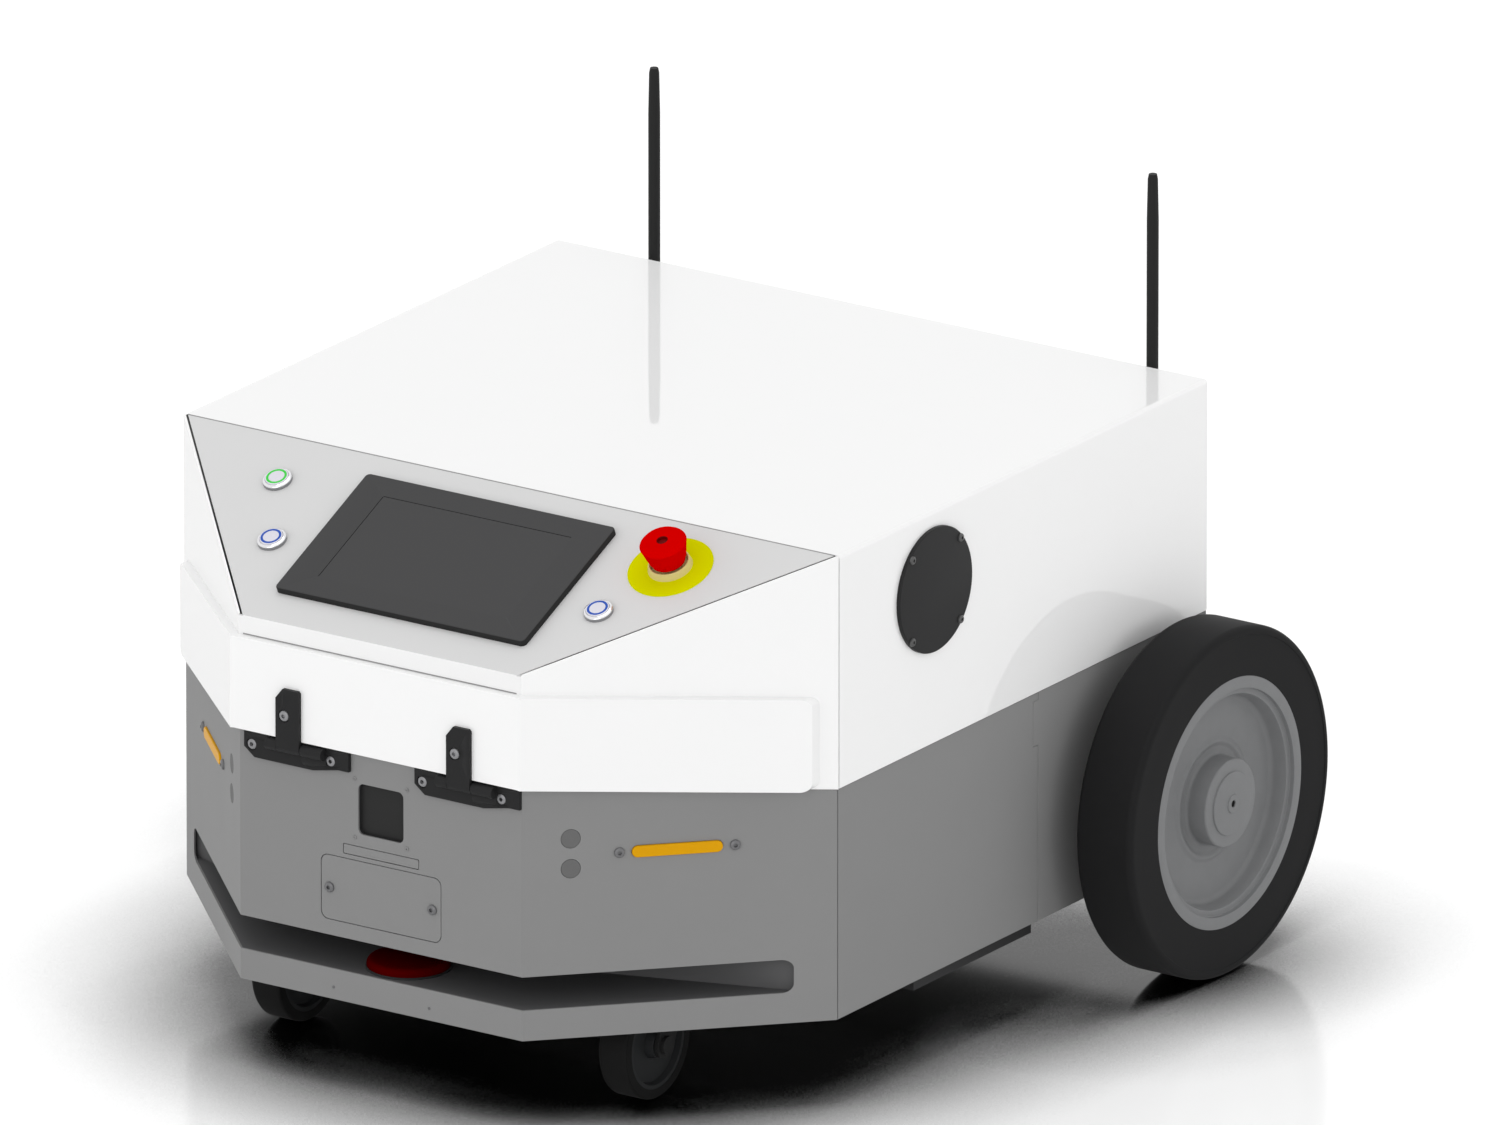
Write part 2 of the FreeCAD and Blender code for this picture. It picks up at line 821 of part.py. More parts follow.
# Inner equipment
def make_equipment():
    tray_y = front_y + (tray_front_back + tray_rear_back) / 2
    tray_top = floor_z - tray_drop + floor_thickness
    x0 = battery_middle_gap / 2
    x1 = half_width - battery_side_gap
    battery_half = tray_length / 2 - battery_end_gap
    block = box(x0, x1, tray_y - battery_half, tray_y + battery_half, tray_top, tray_top + battery_height)
    block = soften(block, battery_corner, lambda edge: runs_along(edge, (0, 0, 1)))
    save("battery_packs", *both_sides(block))
    y0 = wheel_y - control_box_ahead_of_wheel
    control = box(-control_box_width / 2, control_box_width / 2, y0, y0 + control_box_length,
                  base_top_z, base_top_z + control_box_height)
    save("control_box", control)
    drivers = []
    driver_y = y0 - driver_length
    for side in (-1, 1):
        middle = side * driver_pitch / 2
        case = box(middle - driver_width / 2, middle + driver_width / 2,
                   driver_y + fin_depth, driver_y + driver_length, base_top_z, base_top_z + driver_height)
        fins = []
        step = driver_width / (2 * fin_count - 1)
        for index in range(fin_count):
            x = middle - driver_width / 2 + 2 * index * step
            fins.append(box(x, x + step, driver_y, driver_y + fin_depth,
                            base_top_z, base_top_z + driver_height))
        drivers.append(joined([case] + fins))
    save("motor_drivers", *drivers)


def make_drive_units():
    """Motor and planetary gearbox of each wheel, clamped in the drive plates."""
    gearbox_x = drive_plate_x - gearbox_length
    gearbox = rod(gearbox_radius, gearbox_length, (gearbox_x, wheel_y, wheel_radius), (1, 0, 0))
    bore = rod(axle_radius + running_gap, axle_inner_length + 2 * part_gap,
               (drive_plate_x - axle_inner_length - 2 * part_gap, wheel_y, wheel_radius), (1, 0, 0))
    gearbox = gearbox.cut(bore)
    motor = box(gearbox_x - motor_length, gearbox_x, wheel_y - motor_size / 2, wheel_y + motor_size / 2,
                wheel_radius - motor_size / 2, wheel_radius + motor_size / 2)
    motor = soften(motor, motor_corner, lambda edge: runs_along(edge, (1, 0, 0)))
    save("gearboxes", *both_sides(gearbox))
    save("drive_motors", *both_sides(motor))


# Drive wheels. Heights run outwards along the axle from the inner face of the tyre.
wheel_start = half_width + tyre_gap


def make_drive_wheel(side_name, flip):
    origin = (wheel_start, wheel_y, wheel_radius)
    outwards = (1, 0, 0)
    bead = tyre_bead_inset
    mid_radius = (rim_radius + wheel_radius) / 2
    tyre = turned([
        (rim_radius, bead),
        (mid_radius, 0),
        (wheel_radius - tyre_shoulder_width, 0),
        (wheel_radius - tyre_shoulder_knee, tyre_shoulder_knee),
        (wheel_radius, tyre_shoulder_width),
        (wheel_radius, tyre_width - tyre_shoulder_width),
        (wheel_radius - tyre_shoulder_knee, tyre_width - tyre_shoulder_knee),
        (wheel_radius - tyre_shoulder_width, tyre_width),
        (mid_radius, tyre_width),
        (rim_radius, tyre_width - bead),
    ], origin, outwards)
    plane = tyre_width - rim_plane_inset
    dish = plane - dish_depth
    back = dish - dish_wall
    top = tyre_width
    ring = turned([
        (dish_foot_radius, back),
        (rim_radius - rim_wall, bead + rim_lip_height),
        (rim_radius - rim_wall, bead),
        (rim_radius, bead),
        (rim_radius, plane),
        (rim_flange_inner_radius, plane),
        (rim_flange_inner_radius, plane - rim_lip_height),
        (rim_ledge_radius, plane - rim_lip_height - rim_ledge_drop),
        (dish_foot_radius + rim_foot_width, dish + rim_foot_height),
        (dish_foot_radius, dish),
    ], origin, outwards)
    disc_top = top + hub_disc_height
    disc = turned([
        (axle_radius, back),
        (dish_foot_radius, back),
        (dish_foot_radius, dish),
        (ridge_radius + ridge_width, dish),
        (ridge_radius + ridge_width / 2, dish + ridge_height),
        (ridge_radius - ridge_width / 2, dish + ridge_height),
        (ridge_radius - ridge_width, dish),
        (hub_radius + hub_foot_width, dish),
        (hub_radius, dish + hub_foot_width),
        (hub_radius, top - hub_bevel),
        (hub_radius - hub_bevel, top),
        (hub_disc_radius, top),
        (hub_disc_radius - hub_disc_bevel, disc_top),
        (hub_ring_radius, disc_top),
        (hub_ring_radius - hub_ring_bevel, disc_top + hub_ring_height),
        (hub_hole_radius, disc_top + hub_ring_height),
        (hub_hole_radius, top),
        (axle_radius, top),
    ], origin, outwards)
    flange_start = back - axle_flange_thickness
    axle_start = drive_plate_x - axle_inner_length - wheel_start
    axle = turned([
        (0, axle_start),
        (axle_radius, axle_start),
        (axle_radius, flange_start),
        (axle_flange_radius, flange_start),
        (axle_flange_radius, back),
        (axle_radius, back),
        (axle_radius, top),
        (0, top),
    ], origin, outwards)
    for name, shapes in (("tyre_", [tyre]), ("rim_", [ring, disc]), ("axle_", [axle])):
        save(name + side_name, *[mirrored(shape) if flip else shape for shape in shapes])


def make_bearings():
    """Flanged bearing housings of the drive axles, on the drive plates."""
    housing = turned([
        (axle_radius + running_gap, 0),
        (gearbox_radius, 0),
        (gearbox_radius, bearing_width / 3),
        (bearing_radius, bearing_width / 2),
        (bearing_radius, bearing_width),
        (axle_radius + running_gap, bearing_width),
    ], (drive_plate_x, wheel_y, wheel_radius), (1, 0, 0))
    save("axle_bearings", *both_sides(housing))


# Castors
def both_ends(half_profile):
    """A profile that is the same at both ends, from its lower half."""
    return half_profile + [(radius, -height) for radius, height in reversed(half_profile)]


def make_castors():
    head_z = base_z - castor_head_height
    crown_top = head_z - part_gap
    crown_bottom = crown_top - castor_crown_thickness
    pin_head_top = crown_bottom - part_gap
    centre = (castor_x, castor_y, 0)
    head = turned([
        (0, pin_head_top - castor_pin_head_height),
        (castor_pin_head_radius, pin_head_top - castor_pin_head_height),
        (castor_pin_head_radius, pin_head_top),
        (castor_pin_radius, pin_head_top),
        (castor_pin_radius, head_z),
        (castor_head_radius, head_z),
        (castor_head_radius, base_z - castor_head_bevel),
        (castor_head_radius - castor_head_bevel, base_z),
        (castor_pin_radius, base_z),
        (castor_pin_radius, base_top_z),
        (castor_nut_radius, base_top_z),
        (castor_nut_radius, base_top_z + castor_nut_height),
        (0, base_top_z + castor_nut_height),
    ], centre, (0, 0, 1))
    save("castor_mounts", *both_sides(head))
    crown = turned([
        (castor_pin_radius + running_gap, crown_bottom),
        (castor_crown_radius - castor_crown_bevel, crown_bottom),
        (castor_crown_radius, crown_bottom + castor_crown_bevel),
        (castor_crown_radius, crown_top),
        (castor_pin_radius + running_gap, crown_top),
    ], centre, (0, 0, 1))
    axle_y = castor_y - castor_trail
    arm_inner = castor_hub_width / 2 + castor_side_gap
    arms = []
    for side in (-1, 1):
        x0 = castor_x + side * arm_inner - (castor_arm_thickness if side < 0 else 0)
        arms.append(castor_arm(x0, axle_y, crown_bottom))
    fork = joined([crown] + arms)
    axle_half = arm_inner + castor_arm_thickness
    half_axle = [
        (0, -axle_half - castor_axle_head),
        (castor_axle_head_radius, -axle_half - castor_axle_head),
        (castor_axle_head_radius, -axle_half),
        (castor_axle_radius, -axle_half),
    ]
    wheel_centre = (castor_x, axle_y, castor_wheel_radius)
    axle = turned(both_ends(half_axle), wheel_centre, (1, 0, 0))
    fork = fork.cut(rod(castor_axle_radius, castor_hub_width * 2,
                        (castor_x - castor_hub_width, axle_y, castor_wheel_radius), (1, 0, 0)))
    half = castor_wheel_width / 2
    hub_half = castor_hub_width / 2
    web = half - castor_web_recess
    core_rim = castor_core_radius - castor_rim_wall
    half_core = [
        (castor_axle_radius + running_gap, -hub_half),
        (castor_hub_radius, -hub_half),
        (castor_hub_radius + castor_rim_taper, -web),
        (core_rim - castor_rim_taper, -web),
        (core_rim, -half),
        (castor_core_radius, -half),
    ]
    core = turned(both_ends(half_core), wheel_centre, (1, 0, 0))
    half_tread = [
        (castor_core_radius, -half),
        (castor_wheel_radius - castor_tread_bevel, -half),
        (castor_wheel_radius, -half + castor_tread_shoulder),
    ]
    tread = turned(both_ends(half_tread), wheel_centre, (1, 0, 0))
    nodes = {"castor_fork_": [fork, axle], "castor_core_": [core], "castor_tread_": [tread]}
    for name, shapes in nodes.items():
        save(name + "right", *shapes)
        save(name + "left", *[mirrored(shape) for shape in shapes])


def castor_arm(x0, axle_y, crown_bottom):
    """A fork leg: wide under the crown, narrowing to a round foot at the axle."""
    half = castor_arm_width / 2
    top = crown_bottom + castor_crown_thickness / 2
    foot = castor_arm_foot_radius
    axle_z = castor_wheel_radius
    spread = math.atan2(castor_trail, top - axle_z)
    front = (axle_y - foot * math.cos(spread), axle_z + foot * math.sin(spread))
    back = (axle_y + foot * math.cos(spread), axle_z - foot * math.sin(spread))
    outline = [(castor_y - half, top), front, back, (castor_y + half, top)]
    leg = side_prism(outline, x0, x0 + castor_arm_thickness)
    round_foot = rod(foot, castor_arm_thickness, (x0, axle_y, axle_z), (1, 0, 0))
    return leg.fuse(round_foot)


# White hood
def make_hood_shell():
    outer_outline = offset_outline(body_outline, hood_proud)
    start = corner_y + seam_gap
    outside = plan_prism(outer_outline, side_split_z + split_gap, top_z).common(behind(start))
    outside = soften(outside, hood_bend_radius, lambda edge: is_hood_bend(edge, start))
    inner_outline = offset_outline(body_outline, hood_proud - sheet)
    inside = plan_prism(inner_outline, side_split_z - overcut, top_z - sheet)
    inside = inside.common(behind(start - overcut))
    inside = soften(inside, hood_bend_radius - sheet, lambda edge: is_hood_bend(edge, start - overcut))
    shell = outside.cut(inside)
    lid_half = half_width - hood_bend_radius
    lid = box(-lid_half, lid_half, corner_y, start, top_z - sheet, top_z)
    hole = rod(antenna_socket_radius - antenna_socket_step, 4 * sheet,
               (antenna_x, rear_y - 2 * sheet, antenna_z), (0, 1, 0))
    save("hood_shell", less(joined([shell, lid]), both_sides(hole)))


def is_hood_bend(edge, start):
    """Top edges along the sides and the rear, and the two upright rear corners."""
    middle = edge.CenterOfMass
    high = middle.z > top_z - 2 * sheet
    if runs_along(edge, (0, 1, 0)):
        return high
    if runs_along(edge, (1, 0, 0)):
        return high and middle.y > corner_y + flange_width
    return runs_along(edge, (0, 0, 1)) and middle.y > corner_y + flange_width


def panel_line(offset):
    """Side view of the slope, moved inwards, as two (y, z) points well past both ends."""
    angle = math.radians(panel_angle)
    normal_y = -math.sin(angle)
    normal_z = math.cos(angle)
    reach = panel_length
    low = (front_y - hood_proud - reach * math.cos(angle), foot_z - reach * math.sin(angle))
    high = (corner_y + reach * math.cos(angle), top_z + reach * math.sin(angle))
    return [(y + offset * normal_y, z + offset * normal_z) for y, z in (low, high)]


def above_panel(offset):
    low, high = panel_line(offset)
    return side_prism([low, high, (high[0], big), (low[0], big)], -big, big)


def make_hood_front():
    sides = wall(hood_proud, hood_proud - sheet, side_split_z, top_z).common(ahead_of(corner_y))
    sides = sides.common(above_split(split_gap)).cut(above_panel(0))
    nose = box(-half_facet, half_facet, -big, front_y + sheet, band_bottom_z + band_cover_height, big)
    save("hood_front", sides.cut(nose))


def make_control_panel():
    inner = offset_outline(body_outline, hood_proud - sheet - panel_gap)
    side = inner[2][0]
    front = front_y - hood_proud
    half_nose = inner[1][0] - (sheet + panel_gap) * chamfer_x / corner_back
    slope_outline = [(-half_nose, front), (half_nose, front), inner[2], (side, rear_y), (-side, rear_y), inner[5]]
    outside = plan_prism(slope_outline, band_bottom_z, top_z).common(ahead_of(corner_y))
    slope_top = outside.cut(above_panel(0)).common(above_panel(-sheet))
    lip_bottom = band_bottom_z + band_cover_height + fit_gap
    lip = box(-half_facet, half_facet, front_y - hood_proud, front_y - hood_proud + sheet, lip_bottom, foot_z)
    lip = lip.cut(above_panel(-sheet / 2))
    panel = joined([slope_top, lip])
    margin = 2 * screen_box_margin - 2 * part_gap
    screen_hole = panel_block(screen_case_width - margin, screen_case_height - margin, -2 * sheet, sheet,
                              screen_case_corner)
    openings = [on_panel(screen_hole, 0, screen_case_down)]
    for x, down in button_places.values():
        openings.append(panel_hole(bezel_body_radius, x, down))
    openings.append(panel_hole(stop_stem_radius + sheet, stop_x, stop_down))
    save("control_panel", less(panel, openings))


def make_band():
    outer = hood_proud + band_proud
    skin = band_plate(outer, 0.0)
    hollow = band_plate(outer - sheet, sheet)
    save("front_band", skin.cut(hollow))


def band_plate(outer, inset):
    """The raised band as a solid, or its hollow when inset on every edge."""
    ring = wall(outer, hood_proud, side_split_z, top_z).common(ahead_of(corner_y))
    reach = half_width - (band_end_margin + inset) * chamfer_x / facet_length
    low = split_line(split_gap + inset, reach)
    high = split_line(split_gap + band_height - inset, reach)
    plate = front_prism(low + high[::-1], -big, big)
    radius = band_corner_radius - inset
    plate = soften(plate, radius, lambda edge: is_band_end(edge, reach))
    return ring.common(plate)


def is_band_end(edge, reach):
    """The corners of the band's outline at its two ends."""
    return runs_along(edge, (0, 1, 0)) and abs(edge.CenterOfMass.x) > reach - overcut


# Hood hinges
def make_hinges():
    uppers = []
    lowers = []
    pins = []
    for side in (-1, 1):
        x = side * hinge_pitch / 2
        uppers.append(hinge_upper_leaf(x))
        lowers.append(hinge_lower_leaf(x))
        pin_length = hinge_left_barrel + hinge_right_barrel
        pins.append(rod(hinge_pin_radius, pin_length, (x - hinge_left_barrel, hinge_y, hinge_z), (1, 0, 0)))
    save("hinge_upper_leaves", *uppers)
    save("hinge_lower_leaves", *lowers, *pins)


def hinge_upper_leaf(x):
    half = hinge_leaf_width / 2
    face_y = front_y - hood_proud - band_proud
    leaf_top = band_bottom_z + hinge_leaf_rise
    outline = [
        (x - half, hinge_z),
        (x + half, hinge_z),
        (x + half, leaf_top - hinge_top_bevel),
        (x + half - hinge_top_bevel, leaf_top),
        (x - half + hinge_bevel, leaf_top),
        (x - half, leaf_top - hinge_bevel - hinge_top_bevel),
    ]
    plate = front_prism(outline, face_y - hinge_leaf_thickness, face_y)
    knuckle_half = half - hinge_knuckle_gap
    knuckle = rod(hinge_barrel_radius, 2 * knuckle_half, (x - knuckle_half, hinge_y, hinge_z), (1, 0, 0))
    low = hinge_z - overcut
    high = hinge_z + hinge_barrel_radius
    trim = box(x - half, x - knuckle_half, -big, big, low, high)
    trim_right = box(x + knuckle_half, x + half, -big, big, low, high)
    bore = rod(hinge_pin_radius + running_gap, hinge_leaf_width, (x - half, hinge_y, hinge_z), (1, 0, 0))
    return less(joined([plate, knuckle]), [bore, trim, trim_right])


def hinge_lower_leaf(x):
    half = hinge_leaf_width / 2
    left = x - hinge_plate_left
    right = x + hinge_plate_right
    top = hinge_z + hinge_barrel_radius
    bottom = top - hinge_plate_height
    outline = [(left, top), (left + hinge_bevel, bottom + hinge_bevel), (left + 2 * hinge_bevel, bottom),
               (right, bottom), (right, top)]
    plate = front_prism(outline, front_y - hinge_leaf_thickness, front_y)
    clearance = hinge_barrel_radius + hinge_knuckle_gap
    relief = rod(clearance, hinge_leaf_width, (x - half, hinge_y, hinge_z), (1, 0, 0))
    relief_above = box(x - half, x + half, front_y - big, front_y + overcut, hinge_z - hinge_knuckle_gap, big)
    left_start = (x - hinge_left_barrel, hinge_y, hinge_z)
    barrel_left = rod(hinge_barrel_radius, hinge_left_barrel - half, left_start, (1, 0, 0))
    right_start = (x + half, hinge_y, hinge_z)
    barrel_right = rod(hinge_barrel_radius, hinge_right_barrel - half, right_start, (1, 0, 0))
    web_y = front_y - hinge_leaf_thickness
    web_low = hinge_z - hinge_barrel_radius
    web_left = box(x - hinge_left_barrel, x - half, hinge_y, web_y, web_low, hinge_z)
    web_right = box(x + half, x + hinge_right_barrel, hinge_y, web_y, web_low, hinge_z)
    bore = rod(hinge_pin_radius, right - left, (left, hinge_y, hinge_z), (1, 0, 0))
    solid = joined([plate, barrel_left, barrel_right, web_left, web_right])
    return less(solid, [relief, relief_above, bore])


# Control panel fittings
button_places = {
    "start_button": (start_x, start_down),
    "reset_button_right": (reset_x, reset_down),
    "reset_button_left": (-reset_x, reset_down),
}


def panel_hole(radius, x, down):
    """A cutter for a round hole in the panel's sheet, with room for what goes through."""
    return on_panel(rod(radius + fit_gap, 4 * sheet, (0, 0, -2 * sheet), (0, 0, 1)), x, down)


def make_screen():
    box_width = screen_case_width - 2 * screen_box_margin
    box_height = screen_case_height - 2 * screen_box_margin
    bezel = panel_block(screen_case_width, screen_case_height, 0, screen_case_proud, screen_case_corner)
    bezel = soften(bezel, screen_edge_round, lambda edge: edge.BoundBox.ZMin > screen_case_proud / 2)
    body = panel_block(box_width, box_height, -screen_box_depth, 0, screen_case_corner)
    recess = panel_block(display_width + 2 * display_gap, display_height + 2 * display_gap,
                         screen_case_proud - display_thickness, screen_case_proud + overcut, display_corner)
    case = joined([bezel, body]).cut(recess)
    save("screen_case", on_panel(case, 0, screen_case_down))
    display_floor = screen_case_proud - display_thickness
    glass = panel_block(display_width, display_height, display_floor, screen_case_proud, display_corner)
    save("screen_glass", on_panel(glass, 0, screen_case_down))


def make_buttons():
    bezels = []
    for name, (x, down) in button_places.items():
        bezel = turned([
            (button_stem_radius + running_gap, -bezel_body_depth),
            (bezel_body_radius, -bezel_body_depth),
            (bezel_body_radius, 0),
            (bezel_radius, 0),
            (bezel_radius, bezel_height - bezel_bevel),
            (bezel_radius - bezel_bevel, bezel_height),
            (button_cap_radius + running_gap, bezel_height),
            (button_cap_radius + running_gap, button_floor),
            (button_stem_radius + running_gap, button_floor),
        ], (0, 0, 0), (0, 0, 1))
        bezels.append(on_panel(bezel, x, down))
        cap_bottom = button_floor + button_travel + part_gap
        cap_top = bezel_height + button_cap_proud
        cap = turned([
            (0, cap_bottom - button_stem_length),
            (button_stem_radius, cap_bottom - button_stem_length),
            (button_stem_radius, cap_bottom),
            (button_cap_radius, cap_bottom),
            (button_cap_radius, cap_top - button_edge_bevel),
            (button_cap_radius - button_edge_bevel, cap_top),
            (0, cap_top),
        ], (0, 0, 0), (0, 0, 1))
        save(name, on_panel(cap, x, down))
    save("button_bezels", *bezels)


def make_stop_button():
    disc = turned([
        (stop_stem_radius + sheet, 0),
        (stop_disc_radius, 0),
        (stop_disc_radius, stop_disc_thickness),
        (stop_stem_radius + sheet, stop_disc_thickness),
    ], (0, 0, 0), (0, 0, 1))
    save("stop_disc", on_panel(disc, stop_x, stop_down))
    bore = stop_stem_radius + running_gap
    collar = turned([
        (bore, -stop_body_depth),
        (stop_stem_radius + sheet, -stop_body_depth),
        (stop_stem_radius + sheet, stop_disc_thickness),
        (stop_collar_radius, stop_disc_thickness),
        (stop_collar_top_radius, stop_collar_height),
        (stop_cup_top_radius, stop_collar_height),
        (stop_cup_floor_radius, stop_cup_floor),
        (bore, stop_cup_floor),
    ], (0, 0, 0), (0, 0, 1))
    save("stop_collar", on_panel(collar, stop_x, stop_down))
    stem = turned([
        (0, -stop_body_depth / 2),
        (stop_stem_radius, -stop_body_depth / 2),
        (stop_stem_radius, stop_head_bottom - part_gap),
        (stop_spigot_radius, stop_head_bottom - part_gap),
        (stop_spigot_radius, stop_spigot_top),
        (0, stop_spigot_top),
    ], (0, 0, 0), (0, 0, 1))
    save("stop_stem", on_panel(stem, stop_x, stop_down))
    socket_top = stop_spigot_top + part_gap
    head = turned([
        (stop_spigot_radius + running_gap, stop_head_bottom),
        (stop_head_foot_radius, stop_head_bottom),
        (stop_head_radius, stop_top - stop_head_dome - stop_head_rim),
        (stop_head_radius - stop_head_bevel, stop_top - stop_head_dome),
        (stop_head_radius - stop_head_crown, stop_top),
        (stop_key_radius, stop_top),
        (stop_key_radius, stop_top - stop_key_depth),
        (0, stop_top - stop_key_depth),
        (0, socket_top),
        (stop_spigot_radius + running_gap, socket_top),
    ], (0, 0, 0), (0, 0, 1))
    save("stop_head", on_panel(head, stop_x, stop_down))


def make_side_caps():
    x = half_width + hood_proud
    y = front_y + side_cap_back
    z = floor_z + side_cap_up
    cap = turned([
        (0, 0),
        (side_cap_radius, 0),
        (side_cap_radius, side_cap_thickness - side_cap_bevel),
        (side_cap_radius - side_cap_bevel, side_cap_thickness),
        (0, side_cap_thickness),
    ], (x, y, z), (1, 0, 0))
    save("side_caps", *both_sides(cap))


# Antennas on the rear wall of the hood
def make_antennas():
    wall_y = rear_y + hood_proud
    swivel_y = wall_y + antenna_socket_length
    stud_radius = antenna_socket_radius - antenna_socket_step - fit_gap
    socket = turned([
        (0, -antenna_socket_depth),
        (stud_radius, -antenna_socket_depth),
        (stud_radius, 0),
        (antenna_socket_radius, 0),
        (antenna_socket_radius, antenna_socket_length),
        (0, antenna_socket_length),
    ], (antenna_x, wall_y, antenna_z), (0, 1, 0))
    save("antenna_sockets", *both_sides(socket))
    tongue = antenna_tongue_width
    elbow_start = swivel_y + part_gap
    ear = antenna_whip_radius + antenna_ear_overhang
    neck_end = antenna_y - ear - antenna_ear_overhang
    neck = rod(antenna_elbow_radius, neck_end - elbow_start, (antenna_x, elbow_start, antenna_z), (0, 1, 0))
    blade = box(antenna_x - tongue / 2, antenna_x + tongue / 2, neck_end - antenna_ear_overhang, antenna_y,
                antenna_z - antenna_elbow_radius, antenna_z + antenna_elbow_radius)
    eye = rod(antenna_elbow_radius, tongue, (antenna_x - tongue / 2, antenna_y, antenna_z), (1, 0, 0))
    pin_half = tongue / 2 + part_gap + antenna_ear_thickness
    pin_start = (antenna_x - pin_half, antenna_y, antenna_z)
    pin = rod(antenna_hinge_radius, 2 * pin_half, pin_start, (1, 0, 0))
    elbow = joined([neck, blade, eye, pin])
    foot_z0 = antenna_z + antenna_elbow_radius + antenna_foot_gap
    foot_z1 = foot_z0 + antenna_foot_height
    ears = []
    for x0 in (antenna_x - pin_half, antenna_x + pin_half - antenna_ear_thickness):
        ears.append(rod(ear, antenna_ear_thickness, (x0, antenna_y, antenna_z), (1, 0, 0)))
        ears.append(box(x0, x0 + antenna_ear_thickness, antenna_y - ear, antenna_y + ear, antenna_z,
                        foot_z0 + antenna_foot_gap))
    tip_z = top_z + antenna_height
    mast = turned([
        (0, foot_z0),
        (ear, foot_z0),
        (ear, foot_z1),
        (antenna_whip_radius, foot_z1 + antenna_foot_taper),
        (antenna_whip_radius, tip_z - antenna_taper_length),
        (antenna_tip_radius, tip_z - antenna_tip_radius),
        (antenna_tip_radius - antenna_tip_bevel, tip_z),
        (0, tip_z),
    ], (antenna_x, antenna_y, 0), (0, 0, 1))
    whip = joined([mast] + ears)
    whip = whip.cut(rod(antenna_hinge_radius + running_gap, 2 * pin_half, pin_start, (1, 0, 0)))
    for name, shape in (("antenna_elbow_", elbow), ("antenna_whip_", whip)):
        save(name + "right", shape)
        save(name + "left", mirrored(shape))


# Tow coupling: a plate on the frame with two jaws and a lifting pin
def make_coupling():
    z = floor_z + coupling_up
    half = coupling_width / 2
    start = rear_y - sheet - fit_gap
    plate = box(-half, half, start, start + coupling_plate_thickness,
                z - coupling_plate_height / 2, z + coupling_plate_height / 2)
    end = rear_y + coupling_reach
    pin_y = end - coupling_pin_inset
    pieces = [plate]
    for low in (z - coupling_mouth / 2 - coupling_jaw_thickness, z + coupling_mouth / 2):
        jaw = box(-half, half, start, end, low, low + coupling_jaw_thickness)
        jaw = soften(jaw, coupling_corner_radius, lambda edge: is_jaw_corner(edge, end))
        pieces.append(jaw)
    body = joined(pieces)
    bore = rod(tow_pin_radius + running_gap, 2 * coupling_plate_height, (0, pin_y, z - coupling_plate_height),
               (0, 0, 1))
    save("tow_coupling", body.cut(bore))
    jaw_top = z + coupling_mouth / 2 + coupling_jaw_thickness
    jaw_bottom = z - coupling_mouth / 2 - coupling_jaw_thickness
    knob_bottom = jaw_top + part_gap
    knob_top = knob_bottom + tow_pin_knob_height
    pin = turned([
        (0, jaw_bottom),
        (tow_pin_radius - tow_pin_point, jaw_bottom),
        (tow_pin_radius, jaw_bottom + tow_pin_bevel),
        (tow_pin_radius, knob_bottom),
        (tow_pin_knob_radius, knob_bottom),
        (tow_pin_knob_radius, knob_top - tow_pin_bevel),
        (tow_pin_knob_radius - tow_pin_bevel, knob_top),
        (0, knob_top),
    ], (0, pin_y, 0), (0, 0, 1))
    save("tow_pin", pin)


def is_jaw_corner(edge, end):
    """The two upright corners at the free end of a jaw."""
    return runs_along(edge, (0, 0, 1)) and edge.CenterOfMass.y > end - overcut


os.makedirs("parts", exist_ok=True)
make_front_cover()
make_indicators()
make_sonar_discs()
make_service_covers()
make_camera()
make_scanner_bay()
make_scanner()
make_side_covers()
make_rear_cover()
make_floor_plate()
make_battery_tray()
make_frame_bars()
make_equipment()
make_drive_units()
make_drive_wheel("right", False)
make_drive_wheel("left", True)
make_bearings()
make_castors()
make_hood_shell()
make_hood_front()
make_control_panel()
make_band()
make_hinges()
make_screen()
make_buttons()
make_stop_button()
make_side_caps()
make_antennas()
make_coupling()
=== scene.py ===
# %% [markdown]
# An autonomous mobile robot: a low tow tractor with a white tilting hood over a grey skirt.
# The construction comes as a fixed frame, so this lesson only dresses it: every surface gets its finish,
# and every round or pressed piece that the camera sees gets a finer mesh in the same place.
# The places are read from the frame, so a piece always lies where the real one is bolted.

# %% Load the frame
import json
import math

import bmesh
import bpy
from mathutils import Matrix, Vector


